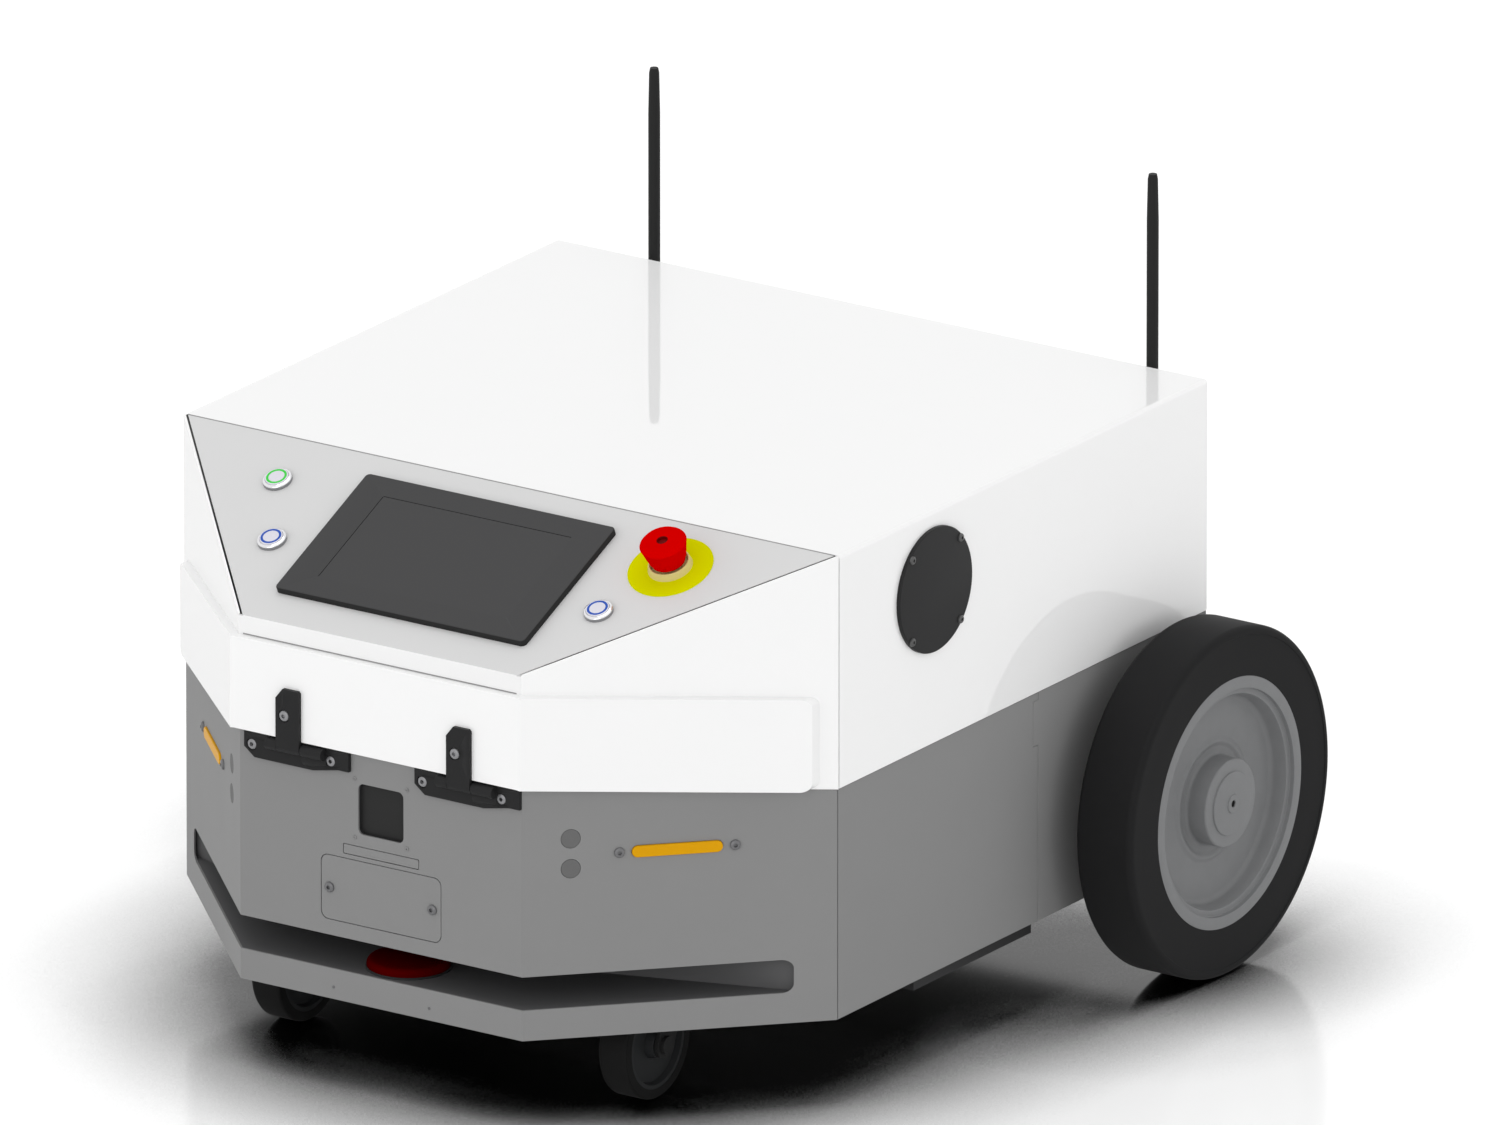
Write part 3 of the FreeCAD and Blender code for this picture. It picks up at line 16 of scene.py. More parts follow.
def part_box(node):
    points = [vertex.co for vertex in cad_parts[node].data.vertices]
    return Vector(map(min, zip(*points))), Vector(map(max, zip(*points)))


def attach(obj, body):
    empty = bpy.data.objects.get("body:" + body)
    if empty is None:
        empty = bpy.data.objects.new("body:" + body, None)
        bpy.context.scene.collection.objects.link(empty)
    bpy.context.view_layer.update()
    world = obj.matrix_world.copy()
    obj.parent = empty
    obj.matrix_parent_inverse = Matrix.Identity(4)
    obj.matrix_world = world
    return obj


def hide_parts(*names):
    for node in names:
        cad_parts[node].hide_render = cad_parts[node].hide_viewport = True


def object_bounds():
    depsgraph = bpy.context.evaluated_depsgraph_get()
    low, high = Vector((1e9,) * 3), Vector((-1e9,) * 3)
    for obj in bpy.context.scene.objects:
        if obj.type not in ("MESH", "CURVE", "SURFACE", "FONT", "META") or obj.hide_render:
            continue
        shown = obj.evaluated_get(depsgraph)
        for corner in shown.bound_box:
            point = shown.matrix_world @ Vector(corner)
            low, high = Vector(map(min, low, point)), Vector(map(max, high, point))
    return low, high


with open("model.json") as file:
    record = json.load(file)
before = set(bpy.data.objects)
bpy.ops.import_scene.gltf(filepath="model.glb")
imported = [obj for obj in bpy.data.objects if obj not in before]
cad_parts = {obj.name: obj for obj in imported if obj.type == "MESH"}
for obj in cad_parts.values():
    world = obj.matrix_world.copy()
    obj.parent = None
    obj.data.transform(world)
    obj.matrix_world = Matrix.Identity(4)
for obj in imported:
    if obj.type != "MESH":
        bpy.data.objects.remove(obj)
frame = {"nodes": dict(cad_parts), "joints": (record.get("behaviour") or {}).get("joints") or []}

cad_low, cad_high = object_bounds()
joint = {one["name"]: one for one in frame["joints"]}
mm = 0.001
print("frame", len(frame["nodes"]), "nodes, size", [round(v, 3) for v in cad_high - cad_low])

# %% [markdown]
# First come the places. A joint says where a wheel turns and which way a button moves, and the corners of a
# node say how far it reaches along any direction. Small helpers read both, so no place is typed twice.

# %% Helpers that read places from the frame
sides = {"right": 1, "left": -1}
up = Vector((0, 0, 1))
ahead = Vector((0, -1, 0))
rightwards = Vector((1, 0, 0))
panel_out = -Vector(joint["start_button_press"]["axis"]).normalized()


def islands(node):
    """The separate solids of a CAD node, each as a list of its corners."""
    work = bmesh.new()
    work.from_mesh(frame["nodes"][node].data)
    bmesh.ops.remove_doubles(work, verts=work.verts, dist=1e-6)
    left = set(work.verts)
    found = []
    while left:
        stack = [left.pop()]
        group = []
        while stack:
            vert = stack.pop()
            group.append(vert.co.copy())
            for edge in vert.link_edges:
                other = edge.other_vert(vert)
                if other in left:
                    left.remove(other)
                    stack.append(other)
        found.append(group)
    work.free()
    found.sort(key=lambda group: tuple(round(v, 4) for v in min(tuple(c) for c in group)))
    return found


def span(corners, axis):
    """Lowest and highest reach of some corners along a direction."""
    reach = [corner.dot(axis) for corner in corners]
    return min(reach), max(reach)


def middle_of(corners):
    """The middle of the box round some corners."""
    return Vector([sum(span(corners, axis)) / 2 for axis in (rightwards, -ahead, up)])


def across(axis):
    """Two directions at right angles to an axis, the first one level where it can be."""
    first = Vector((0, 1, 0)).cross(axis) if abs(axis.z) > 0.999 else up.cross(axis)
    first.normalize()
    return first, axis.cross(first)


def foot_point(corners, axis):
    """The point on a round solid's middle line where the solid begins."""
    first, second = across(axis)
    point = axis * span(corners, axis)[0]
    for direction in (first, second):
        low, high = span(corners, direction)
        point += direction * (low + high) / 2
    return point


print("panel faces", [round(v, 3) for v in panel_out])

# %% [markdown]
# Two more helpers keep the rest short. One puts a new object in the scene. The other adds a node to a tree and
# sets or links its inputs in the same call, because most nodes have nothing else to say.

# %% Helpers for objects and nodes
scene = bpy.context.scene


def linked(name, data):
    """A new object in the scene."""
    thing = bpy.data.objects.new(name, data)
    scene.collection.objects.link(thing)
    return thing


def add_node(tree, kind, inputs, **settings):
    """A new node. Its inputs come by name or number, each as a value or as the socket that feeds it."""
    node = tree.nodes.new(kind)
    for setting, value in settings.items():
        setattr(node, setting, value)
    for key, value in inputs.items():
        if isinstance(value, bpy.types.NodeSocket):
            tree.links.new(value, node.inputs[key])
        else:
            node.inputs[key].default_value = value
    return node


print("helpers ready")

# %% [markdown]
# The camera comes next. The picture is drawn in parallel projection, which a very long lens a very long way
# off imitates, and unlike an orthographic camera it can be moved round the object by any viewer.
# It looks from 34 degrees to the right of straight ahead and 19 degrees above the floor. The scale holds at
# the middle of the body, so what lies half a metre nearer or farther is off by about one part in a hundred.

# %% Camera
azimuth = math.radians(34.04)
elevation = math.radians(18.89)
photo_px_per_m = 516.8
crop_width_px = 740
crop_middle_px = Vector((514, 690))
body_corner_px = Vector((333.1, 909.4))
lens_mm = 1250
sensor_mm = 36
near_limit = 0.1

view_right = Vector((math.cos(azimuth), math.sin(azimuth), 0))
view_back = Vector((math.sin(azimuth) * math.cos(elevation), -math.cos(azimuth) * math.cos(elevation),
                    math.sin(elevation)))
view_up = view_back.cross(view_right)
skirt_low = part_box("front_cover")[0]
body_corner = Vector((0, skirt_low.y, skirt_low.z))
offset_px = crop_middle_px - body_corner_px
aim = body_corner + (view_right * offset_px.x - view_up * offset_px.y) / photo_px_per_m
body_middle = (cad_low + cad_high) / 2
aim += view_back * (body_middle - aim).dot(view_back)
distance = lens_mm / sensor_mm * crop_width_px / photo_px_per_m

camera_data = bpy.data.cameras.new("camera")
camera_data.lens = lens_mm
camera_data.sensor_width = sensor_mm
camera_data.clip_start = near_limit
camera_data.clip_end = 2 * distance
camera = linked("camera", camera_data)
camera.rotation_mode = "QUATERNION"
camera.location = aim + view_back * distance
camera.rotation_quaternion = Matrix((view_right, view_up, view_back)).transposed().to_quaternion()
scene.camera = camera
print("camera", round(distance, 1), "m away")

# %% [markdown]
# The light is plain, like a white studio with pale walls: the sky is brighter near the horizon than overhead,
# so that upright sheets and level ones come out about as the colour that is written for them. One broad lamp
# above and one from the front add a little direction. They are sun lamps with a wide angle, so their
# level is the same everywhere and no highlight burns out.
# What the camera and the reflections see of the sky is pure white, by Light Path.

# %% World and lamps
scene.view_settings.view_transform = "Standard"
wall_level = 1.60
zenith_level = 0.36
lamp_plan = {"overhead": (0, 90, 0.19, 50), "key": (10, 20, 0.10, 45)}

world = bpy.data.worlds.new("sky")
world.use_nodes = True
sky = world.node_tree
background = sky.nodes["Background"]
background.inputs["Color"].default_value = (1, 1, 1, 1)
path = add_node(sky, "ShaderNodeLightPath", {})
direct = add_node(sky, "ShaderNodeMath", {0: path.outputs["Is Camera Ray"], 1: path.outputs["Is Glossy Ray"]},
                  operation="MAXIMUM")
seen = add_node(sky, "ShaderNodeMath", {0: direct.outputs[0], 1: path.outputs["Is Transmission Ray"]},
                operation="MAXIMUM")
direction = add_node(sky, "ShaderNodeTexCoord", {})
height = add_node(sky, "ShaderNodeSeparateXYZ", {"Vector": direction.outputs["Generated"]})
fade = add_node(sky, "ShaderNodeMapRange",
                {"To Min": wall_level, "To Max": zenith_level, "Value": height.outputs["Z"]})
level = add_node(sky, "ShaderNodeMix", {"A": fade.outputs["Result"], "B": 1.0, "Factor": seen.outputs[0]})
sky.links.new(level.outputs["Result"], background.inputs["Strength"])
scene.world = world

for lamp_name, (round_deg, high_deg, share, wide_deg) in lamp_plan.items():
    lamp_data = bpy.data.lights.new(lamp_name, "SUN")
    lamp_data.energy = share * math.pi
    lamp_data.angle = math.radians(wide_deg)
    lamp = linked(lamp_name, lamp_data)
    turn, tilt = math.radians(round_deg), math.radians(high_deg)
    comes_from = Vector((math.sin(turn) * math.cos(tilt), -math.cos(turn) * math.cos(tilt), math.sin(tilt)))
    lamp.rotation_mode = "QUATERNION"
    lamp.rotation_quaternion = comes_from.to_track_quat("Z", "Y")
print("sky from", wall_level, "to", zenith_level, "and", len(lamp_plan), "lamps")

# %% [markdown]
# A finish is one material made of nodes. All of them start from the same few steps: a principled shader, a
# noise in Object coordinates that varies colour and roughness a little, and a finer noise that gives the
# grain its relief. The helper builds those and each finish then says only what is its own.

# %% Helper for finishes
def finish_of(name, colour, roughness, grain=900.0, relief=0.03, depth=0.0002, mottling=0.03, spread=0.05,
              mottle_scale=18.0, gloss=0.5, **sockets):
    """A procedural material: colour mottled a little, roughness varied by spread, fine grain as relief.
    A colour given as one number is a pure grey."""
    if isinstance(colour, float):
        colour = (colour,) * 3
    material = bpy.data.materials.new(name)
    material.use_nodes = True
    tree = material.node_tree
    shader = tree.nodes["Principled BSDF"]
    shader.inputs["Specular IOR Level"].default_value = gloss
    for socket, value in sockets.items():
        shader.inputs[socket.replace("_", " ")].default_value = value
    place = add_node(tree, "ShaderNodeTexCoord", {}).outputs["Object"]
    broad = add_node(tree, "ShaderNodeTexNoise", {"Scale": mottle_scale, "Detail": 4.0, "Vector": place})
    darker = (*[c * (1 - mottling) for c in colour], 1)
    lighter = (*[min(1.0, c * (1 + mottling)) for c in colour], 1)
    tint = add_node(tree, "ShaderNodeMix", {"A": darker, "B": lighter, "Factor": broad.outputs["Fac"]},
                    data_type="RGBA")
    rough = add_node(tree, "ShaderNodeMapRange", {"To Min": max(0.02, roughness - spread),
                                                  "To Max": roughness + spread, "Value": broad.outputs["Fac"]})
    fine = add_node(tree, "ShaderNodeTexNoise", {"Scale": grain, "Detail": 3.0, "Vector": place})
    bump = add_node(tree, "ShaderNodeBump",
                    {"Strength": relief, "Distance": depth, "Height": fine.outputs["Fac"]})
    for output, socket in ((tint.outputs["Result"], "Base Color"), (rough.outputs["Result"], "Roughness"),
                           (bump.outputs["Normal"], "Normal")):
        tree.links.new(output, shader.inputs[socket])
    return material


# %% [markdown]
# The floor is a white polished sheet. Its finish gives two answers: for the light that it throws back on the
# robot it is an ordinary white sheet. For the camera, a painted shadow darkens its colour where the hemisphere
# over it is covered, under and round the robot, and a faint painted glow lifts the open floor. It mirrors the
# robot faintly.

# %% Floor
floor_reach = 60.0
floor_white = 0.93
cover_reach = 0.22
darkest_cover = 0.52
painted_glow_strength = 0.14

floor_mesh = bpy.data.meshes.new("floor")
floor_mesh.from_pydata([(-floor_reach, -floor_reach, 0), (floor_reach, -floor_reach, 0),
                        (floor_reach, floor_reach, 0), (-floor_reach, floor_reach, 0)], [], [(0, 1, 2, 3)])
floor = linked("floor", floor_mesh)
floor_finish = finish_of("floor_gloss", floor_white, 0.14, relief=0.0, mottling=0.0, spread=0.0, gloss=0.35)
floor_tree = floor_finish.node_tree
floor_shader = floor_tree.nodes["Principled BSDF"]
# Painted shadow: the camera sees the floor darker where the hemisphere over it is covered.
covered = add_node(floor_tree, "ShaderNodeAmbientOcclusion", {"Distance": cover_reach}, samples=8)
painted_shadow_level = add_node(floor_tree, "ShaderNodeMapRange", {"From Min": darkest_cover, "Value": covered.outputs["AO"]})
eye = add_node(floor_tree, "ShaderNodeLightPath", {}).outputs["Is Camera Ray"]
sheet_colour = add_node(floor_tree, "ShaderNodeMix", {"A": (floor_white, floor_white, floor_white, 1),
                                                      "B": painted_shadow_level.outputs["Result"], "Factor": eye},
                        data_type="RGBA")
floor_tree.links.new(sheet_colour.outputs["Result"], floor_shader.inputs["Base Color"])
# Painted glow: a faint emission, seen only by the camera, lifts the open floor and fades under the painted
# shadow.
lift = add_node(floor_tree, "ShaderNodeMath", {0: eye, 1: painted_shadow_level.outputs["Result"]}, operation="MULTIPLY")
painted_glow = add_node(floor_tree, "ShaderNodeMath", {0: lift.outputs[0], 1: painted_glow_strength}, operation="MULTIPLY")
floor_shader.inputs["Emission Color"].default_value = (1, 1, 1, 1)
floor_tree.links.new(painted_glow.outputs[0], floor_shader.inputs["Emission Strength"])
floor_mesh.materials.append(floor_finish)
print("floor", floor_white)

# %% [markdown]
# The hood's white powder coat shows a faint mirror image of the antennas, so it gets a smooth clear coat over
# an almost matt white. The panel's slope is duller and greyer, the skirt a middle grey with a finer grain.

# %% Paints
white_paint = finish_of(
    "white_paint", 0.90, 0.42, grain=420, relief=0.05, mottling=0.006, gloss=0.5, Coat_Weight=1.0,
    Coat_Roughness=0.03)
panel_paint = finish_of("panel_paint", 0.655, 0.5, grain=520, relief=0.08, mottling=0.008, gloss=0.3)
lip_paint = finish_of("lip_paint", 0.86, 0.45, grain=520, relief=0.06, mottling=0.006, gloss=0.4)
grey_paint = finish_of("grey_paint", 0.240, 0.5, grain=650, relief=0.10, mottling=0.02, gloss=0.10)
dark_paint = finish_of(
    "dark_paint", (0.030, 0.030, 0.031), 0.5, grain=600, relief=0.10, mottling=0.04, gloss=0.15)
bay_paint = finish_of(
    "bay_paint", (0.10, 0.10, 0.102), 0.6, grain=700, relief=0.10, mottling=0.04, gloss=0.15)
rim_paint = finish_of(
    "rim_paint", (0.192, 0.195, 0.199), 0.5, grain=700, relief=0.35, depth=0.0004, mottling=0.07,
    mottle_scale=60, gloss=0.25)
print("paints ready")

# %% [markdown]
# Rubber is dull with a coarse grain, moulded plastic satin with a very fine one, and the metals take their
# look from what they reflect. The dark ones keep a low specular level: in a white room gloss lifts black.

# %% Rubber, plastics, glass and metals
tyre_rubber = finish_of(
    "tyre_rubber", (0.0125, 0.0125, 0.013), 0.62, grain=380, relief=0.22, mottling=0.10, gloss=0.10)
castor_rubber = finish_of("castor_rubber", 0.010, 0.6, grain=500, relief=0.2, mottling=0.1, gloss=0.05)
# Castor core and castor metal are near black: a dark core made darker, and metal darkened, as painted shade
# under the body.
castor_core = finish_of("castor_core", (0.022, 0.023, 0.024), 0.5, relief=0.08, gloss=0.08)
castor_metal_shade = finish_of("castor_metal_shade", 0.018, 0.5, relief=0.08, gloss=0.08)
black_cast = finish_of(
    "black_cast", (0.019, 0.019, 0.0195), 0.42, grain=700, relief=0.12, mottling=0.05, gloss=0.12)
black_plastic = finish_of("black_plastic", (0.020, 0.020, 0.0205), 0.45, grain=800, relief=0.10, gloss=0.15)
antenna_plastic = finish_of("antenna_plastic", 0.018, 0.5, grain=800, relief=0.08, gloss=0.12)
# A near-black strip finish that paints the shade in the hood's open seams.
seam_shade = finish_of("seam_shade", 0.05, 0.7, grain=500, relief=0.1, gloss=0.1)
screen_plastic = finish_of("screen_plastic", (0.053, 0.053, 0.054), 0.5, grain=900, relief=0.05, gloss=0.12)
# A grey finish for fine strips that paint the shade along the hood's closed joints.
joint_shade = finish_of("joint_shade", 0.30, 0.7, relief=0.05, gloss=0.1)
# A near-black finish that paints the shade inside the wheels' axle holes.
hole_shade_dark = finish_of("hole_shade_dark", 0.008, 0.7, relief=0.05, gloss=0.05)
# A darker copy of the case plastic that paints shade on the screen case's side walls.
screen_wall_shade = finish_of("screen_wall_shade", 0.022, 0.5, relief=0.04, gloss=0.08)
screen_glass = finish_of(
    "screen_glass", (0.053, 0.053, 0.054), 0.42, grain=900, relief=0.01, mottling=0.01, gloss=0.12)
camera_glass = finish_of("camera_glass", 0.023, 0.35, relief=0.01, mottling=0.01, gloss=0.12)
stop_red = finish_of("stop_red", (0.62, 0.0, 0.0), 0.5, relief=0.02, mottling=0.02, gloss=0.0)
# A darker red: the colour of the stem, and painted shade in the head's recess.
stop_dark_red_and_shade = finish_of("stop_dark_red_and_shade", (0.15, 0.0, 0.0), 0.5, relief=0.02, mottling=0.02, gloss=0.1)
stop_yellow = finish_of("stop_yellow", (0.64, 0.66, 0.0), 0.5, relief=0.03, mottling=0.02, gloss=0.0)
stop_beige = finish_of("stop_beige", (0.66, 0.56, 0.22), 0.4, relief=0.03, gloss=0.2)
scanner_red = finish_of("scanner_red", (0.065, 0.0, 0.0), 0.4, relief=0.01, gloss=0.0)
amber = finish_of("amber", (0.68, 0.33, 0.004), 0.3, relief=0.04, gloss=0.04)
sonar_grey = finish_of("sonar_grey", 0.135, 0.6, relief=0.15, gloss=0.15)
button_white = finish_of("button_white", (0.70, 0.69, 0.76), 0.3, relief=0.02)
ring_green = finish_of(
    "ring_green", (0.05, 0.55, 0.06), 0.3, gloss=0.1, Emission_Color=(0.1, 0.7, 0.12, 1),
    Emission_Strength=0.10)
ring_blue = finish_of(
    "ring_blue", (0.02, 0.08, 0.40), 0.3, gloss=0.1, Emission_Color=(0.05, 0.14, 0.6, 1),
    Emission_Strength=0.08)
bright_steel = finish_of("bright_steel", (0.55, 0.55, 0.56), 0.32, grain=500, relief=0.05, Metallic=1.0)
screw_zinc = finish_of("screw_zinc", (0.16, 0.16, 0.165), 0.34, grain=800, relief=0.04, Metallic=0.4)
screw_pale = finish_of("screw_pale", (0.26, 0.26, 0.27), 0.34, grain=800, relief=0.04, Metallic=0.4)
screw_black = finish_of("screw_black", 0.09, 0.3, grain=800, relief=0.04, Metallic=0.4)
chrome = finish_of("chrome", (0.80, 0.80, 0.82), 0.12, relief=0.01, Metallic=1.0)
aluminium = finish_of("aluminium", (0.55, 0.55, 0.57), 0.45, grain=300, relief=0.15, Metallic=1.0)
print(len(bpy.data.materials), "materials")

# %% [markdown]
# Every node that stays in sight gets its finish by name, so that nothing shows the frame's plain colour. The
# pieces that are made finer below take over from their node later.

# %% Finishes for the frame's own nodes
node_finish = {
    grey_paint: ["front_cover", "side_cover_right", "side_cover_left", "motor_cover_right", "motor_cover_left",
                 "rear_cover", "service_covers"],
    white_paint: ["hood_shell", "hood_front", "front_band"],
    panel_paint: ["control_panel"],
    dark_paint: ["floor_plate", "battery_tray", "frame_bars", "camera_case", "tow_coupling"],
    bay_paint: ["scanner_bay"],
    black_cast: ["hinge_lower_leaves", "hinge_upper_leaves"],
    black_plastic: ["scanner_base", "side_caps", "control_box", "battery_packs"],
    antenna_plastic: ["antenna_sockets", "antenna_elbow_right", "antenna_elbow_left", "antenna_whip_right",
                      "antenna_whip_left"],
    scanner_red: ["scanner_window"],
    camera_glass: ["camera_window"],
    amber: ["indicator_lenses"],
    sonar_grey: ["sonar_discs"],
    bright_steel: ["axle_right", "axle_left", "gearboxes", "axle_bearings", "tow_pin"],
    castor_metal_shade: ["castor_mounts", "castor_fork_right", "castor_fork_left"],
    aluminium: ["drive_motors", "motor_drivers"],
    rim_paint: ["rim_right", "rim_left"],
    tyre_rubber: ["tyre_right", "tyre_left"],
    castor_rubber: ["castor_tread_right", "castor_tread_left"],
    castor_core: ["castor_core_right", "castor_core_left"],
    screen_plastic: ["screen_case"],
    screen_glass: ["screen_glass"],
    stop_yellow: ["stop_disc"],
    stop_beige: ["stop_collar"],
    stop_red: ["stop_head", "stop_stem"],
    chrome: ["button_bezels"],
    button_white: ["start_button", "reset_button_right", "reset_button_left"],
}
for material, nodes in node_finish.items():
    for node in nodes:
        data = frame["nodes"][node].data
        data.materials.clear()
        data.materials.append(material)
finished = {node for nodes in node_finish.values() for node in nodes}
print("without a finish:", sorted(set(frame["nodes"]) - finished))

# %% [markdown]
# Three ways of making a piece cover nearly everything here. A sheet or a block that the frame already has is
# copied, its loose triangles are joined into whole faces, holes for sunk screws are cut, and a bevel breaks
# its edges: a cut edge is never perfectly sharp, and a bend in a sheet has a radius of a few millimetres.
# A round piece is turned: a profile is spun about its axis. What is repeated comes from Geometry Nodes.

# %% Helpers that make meshes
smooth_below = math.radians(28)
bend_angles = (math.radians(20), math.radians(70))
bend_length = 15 * mm


def add_piece(name, mesh, material, body, replaced=()):
    """Puts a finished mesh on its body, with its finish and the nodes that it stands for."""
    piece = linked(name, mesh)
    mesh.materials.clear()
    mesh.materials.append(material)
    mesh.polygons.foreach_set("use_smooth", [True] * len(mesh.polygons))
    mesh.set_sharp_from_angle(angle=smooth_below)
    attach(piece, body)
    if replaced:
        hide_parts(*replaced)
    return piece


def refinished(piece, material, is_other):
    """Gives those faces of a piece that pass a test another finish."""
    piece.data.materials.append(material)
    for face in piece.data.polygons:
        face.material_index = int(is_other(face))


def cut_out(piece, holes):
    """Adds a boolean step for each hole's shape, and gives the cutters."""
    cutters = []
    for index, hole in enumerate(holes):
        cutter = linked("cutter_%d" % index, hole)
        cut = piece.modifiers.new("hole_%d" % index, "BOOLEAN")
        cut.operation = "DIFFERENCE"
        cut.solver = "EXACT"
        cut.object = cutter
        cutters.append(cutter)
    return cutters


def flattened(piece, cutters=()):
    """Applies a piece's modifiers and gives the plain mesh. The piece and its cutters go."""
    graph = bpy.context.evaluated_depsgraph_get()
    mesh = bpy.data.meshes.new_from_object(piece.evaluated_get(graph))
    for spent in (piece, *cutters):
        bpy.data.objects.remove(spent)
    return mesh


def mesh_from(work, name, outwards=True):
    """Turns a bmesh into a mesh, by default with every face turned outwards."""
    if outwards:
        bmesh.ops.recalc_face_normals(work, faces=work.faces)
    mesh = bpy.data.meshes.new(name)
    work.to_mesh(mesh)
    work.free()
    return mesh


def even_normals(mesh):
    """Smooth shading weighted by the area of the faces, so that large flat faces stay evenly lit."""
    mesh.polygons.foreach_set("use_smooth", [True] * len(mesh.polygons))
    mesh.set_sharp_from_angle(angle=smooth_below)
    holder = linked("holder", mesh)
    weighting = holder.modifiers.new("weighting", "WEIGHTED_NORMAL")
    weighting.keep_sharp = True
    return flattened(holder)


def joined_faces(node, edge_share):
    """A node's mesh with doubles merged and flat stretches whole. Bends get the full bevel, edges a share."""
    work = bmesh.new()
    work.from_mesh(frame["nodes"][node].data)
    bmesh.ops.remove_doubles(work, verts=work.verts, dist=1e-6)
    bmesh.ops.dissolve_limit(work, angle_limit=math.radians(0.5), verts=work.verts, edges=work.edges)
    weight = work.edges.layers.float.new("bevel_weight_edge")
    for edge in work.edges:
        if len(edge.link_faces) != 2:
            continue
        angle = edge.calc_face_angle()
        is_bend = bend_angles[0] < angle < bend_angles[1] and edge.calc_length() > bend_length
        if is_bend:
            edge[weight] = 1.0
        elif angle > bend_angles[1] / 2:
            edge[weight] = edge_share
    return mesh_from(work, node + "_copy", outwards=False)


def bevelled(node, name, material, body, edge=0.4, bend=None, steps=3, holes=()):
    """A node's shape again, with rounded bends, broken edges and the holes given, all in millimetres.
    Without a bend radius of its own, a bend is rounded like an edge."""
    bend = bend or edge
    piece = linked(name, joined_faces(node, edge / bend))
    cutters = cut_out(piece, holes)
    rounding = piece.modifiers.new("rounding", "BEVEL")
    rounding.width = bend * mm
    rounding.segments = steps
    rounding.limit_method = "WEIGHT"
    return add_piece(name, even_normals(flattened(piece, cutters)), material, body, (node,))


def turned_mesh(name, profile, origin, axis, steps=96):
    """Spins a closed profile of (radius, height) points, in millimetres, about an axis."""
    first, second = across(axis)
    work = bmesh.new()
    rings = []
    for radius, height in profile:
        centre = origin + axis * height * mm
        if radius < 1e-4:
            rings.append([work.verts.new(centre)])
            continue
        ring = []
        for step in range(steps):
            angle = 2 * math.pi * step / steps
            out = first * math.cos(angle) + second * math.sin(angle)
            ring.append(work.verts.new(centre + out * radius * mm))
        rings.append(ring)
    for index, ring in enumerate(rings):
        after = rings[(index + 1) % len(rings)]
        if len(ring) == 1 and len(after) == 1:
            continue
        for step in range(steps):
            following = (step + 1) % steps
            if len(ring) == 1:
                work.faces.new((ring[0], after[step], after[following]))
            elif len(after) == 1:
                work.faces.new((ring[step], after[0], ring[following]))
            else:
                work.faces.new((ring[step], after[step], after[following], ring[following]))
    return mesh_from(work, name)


def turned(name, profile, origin, axis, material, body, replaced=(), steps=96):
    """Spins a profile and adds the result as a piece."""
    return add_piece(name, turned_mesh(name, profile, origin, axis, steps), material, body, replaced)


def merged(name, meshes):
    """Several meshes as one."""
    work = bmesh.new()
    for mesh in meshes:
        work.from_mesh(mesh)
    return mesh_from(work, name, outwards=False)


def arc(centre_radius, centre_height, radius, start, end, steps=6):
    """Profile points along an arc. Angles in degrees, 0 pointing outwards and 90 along the axis."""
    angles = [math.radians(start + (end - start) * step / steps) for step in range(steps + 1)]
    return [(centre_radius + radius * math.cos(angle), centre_height + radius * math.sin(angle))
            for angle in angles]


def prism(name, near, far):
    """A solid between two outlines with the same number of points."""
    work = bmesh.new()
    rows = [[work.verts.new(point) for point in outline] for outline in (near, far)]
    for index in range(len(near)):
        after = (index + 1) % len(near)
        work.faces.new((rows[0][index], rows[0][after], rows[1][after], rows[1][index]))
    for row in rows:
        work.faces.new(row)
    return mesh_from(work, name)


def bar(start, end, width_axis, width, thickness_axis, thickness):
    """A straight strip from start to end, as a mesh. Width and thickness in millimetres."""
    corners = [width_axis * wide * width / 2 + thickness_axis * thick * thickness
               for wide, thick in ((-1, 0), (1, 0), (1, 1), (-1, 1))]
    return prism("strip", *[[point + corner * mm for corner in corners] for point in (start, end)])


def drilled(centre, axis, radius, depth):
    """A plain drill's shape, for a boolean cut. It starts a little above the surface."""
    return turned_mesh("drill", [(0, -depth), (radius, -depth), (radius, 2), (0, 2)], centre, axis, 48)


# %% [markdown]
# The grey skirt is folded and laser-cut steel sheet. Its upright folds catch a soft line of light, so they get
# a real radius, and the cut edges round the scanner slot, the covers and the camera get a small one.

# %% Grey skirt
for node, name in (("front_cover", "skirt_front"), ("side_cover_right", "skirt_right"),
                   ("side_cover_left", "skirt_left"), ("motor_cover_right", "motor_sheet_right"),
                   ("motor_cover_left", "motor_sheet_left"), ("rear_cover", "skirt_rear")):
    piece = bevelled(node, name, grey_paint, "chassis", bend=3.0)
    print(name, len(piece.data.polygons), "faces")
bevelled("service_covers", "service_lids", grey_paint, "chassis", edge=0.3)
bevelled("camera_case", "camera_housing", dark_paint, "chassis", edge=0.4)

# %% [markdown]
# The hood is folded in the same way from white sheet. The raised band round its front is a tray with rounded
# ends, laid over the hood's lower edge. The slope's front lip keeps a whiter coat than the slope itself.

# %% White hood
faces_ahead = 0.8
bevelled("hood_shell", "hood_cover", white_paint, "hood", edge=0.5, bend=3.0)
bevelled("hood_front", "hood_corner_sheets", white_paint, "hood", edge=0.4, bend=3.0)
bevelled("front_band", "hood_band", white_paint, "hood", edge=0.8, bend=4.0)
slope = bevelled("control_panel", "panel_slope", panel_paint, "hood", edge=0.5, bend=1.2)
refinished(slope, lip_paint, lambda face: face.normal.dot(ahead) > faces_ahead)
print("panel", len(slope.data.polygons), "faces")
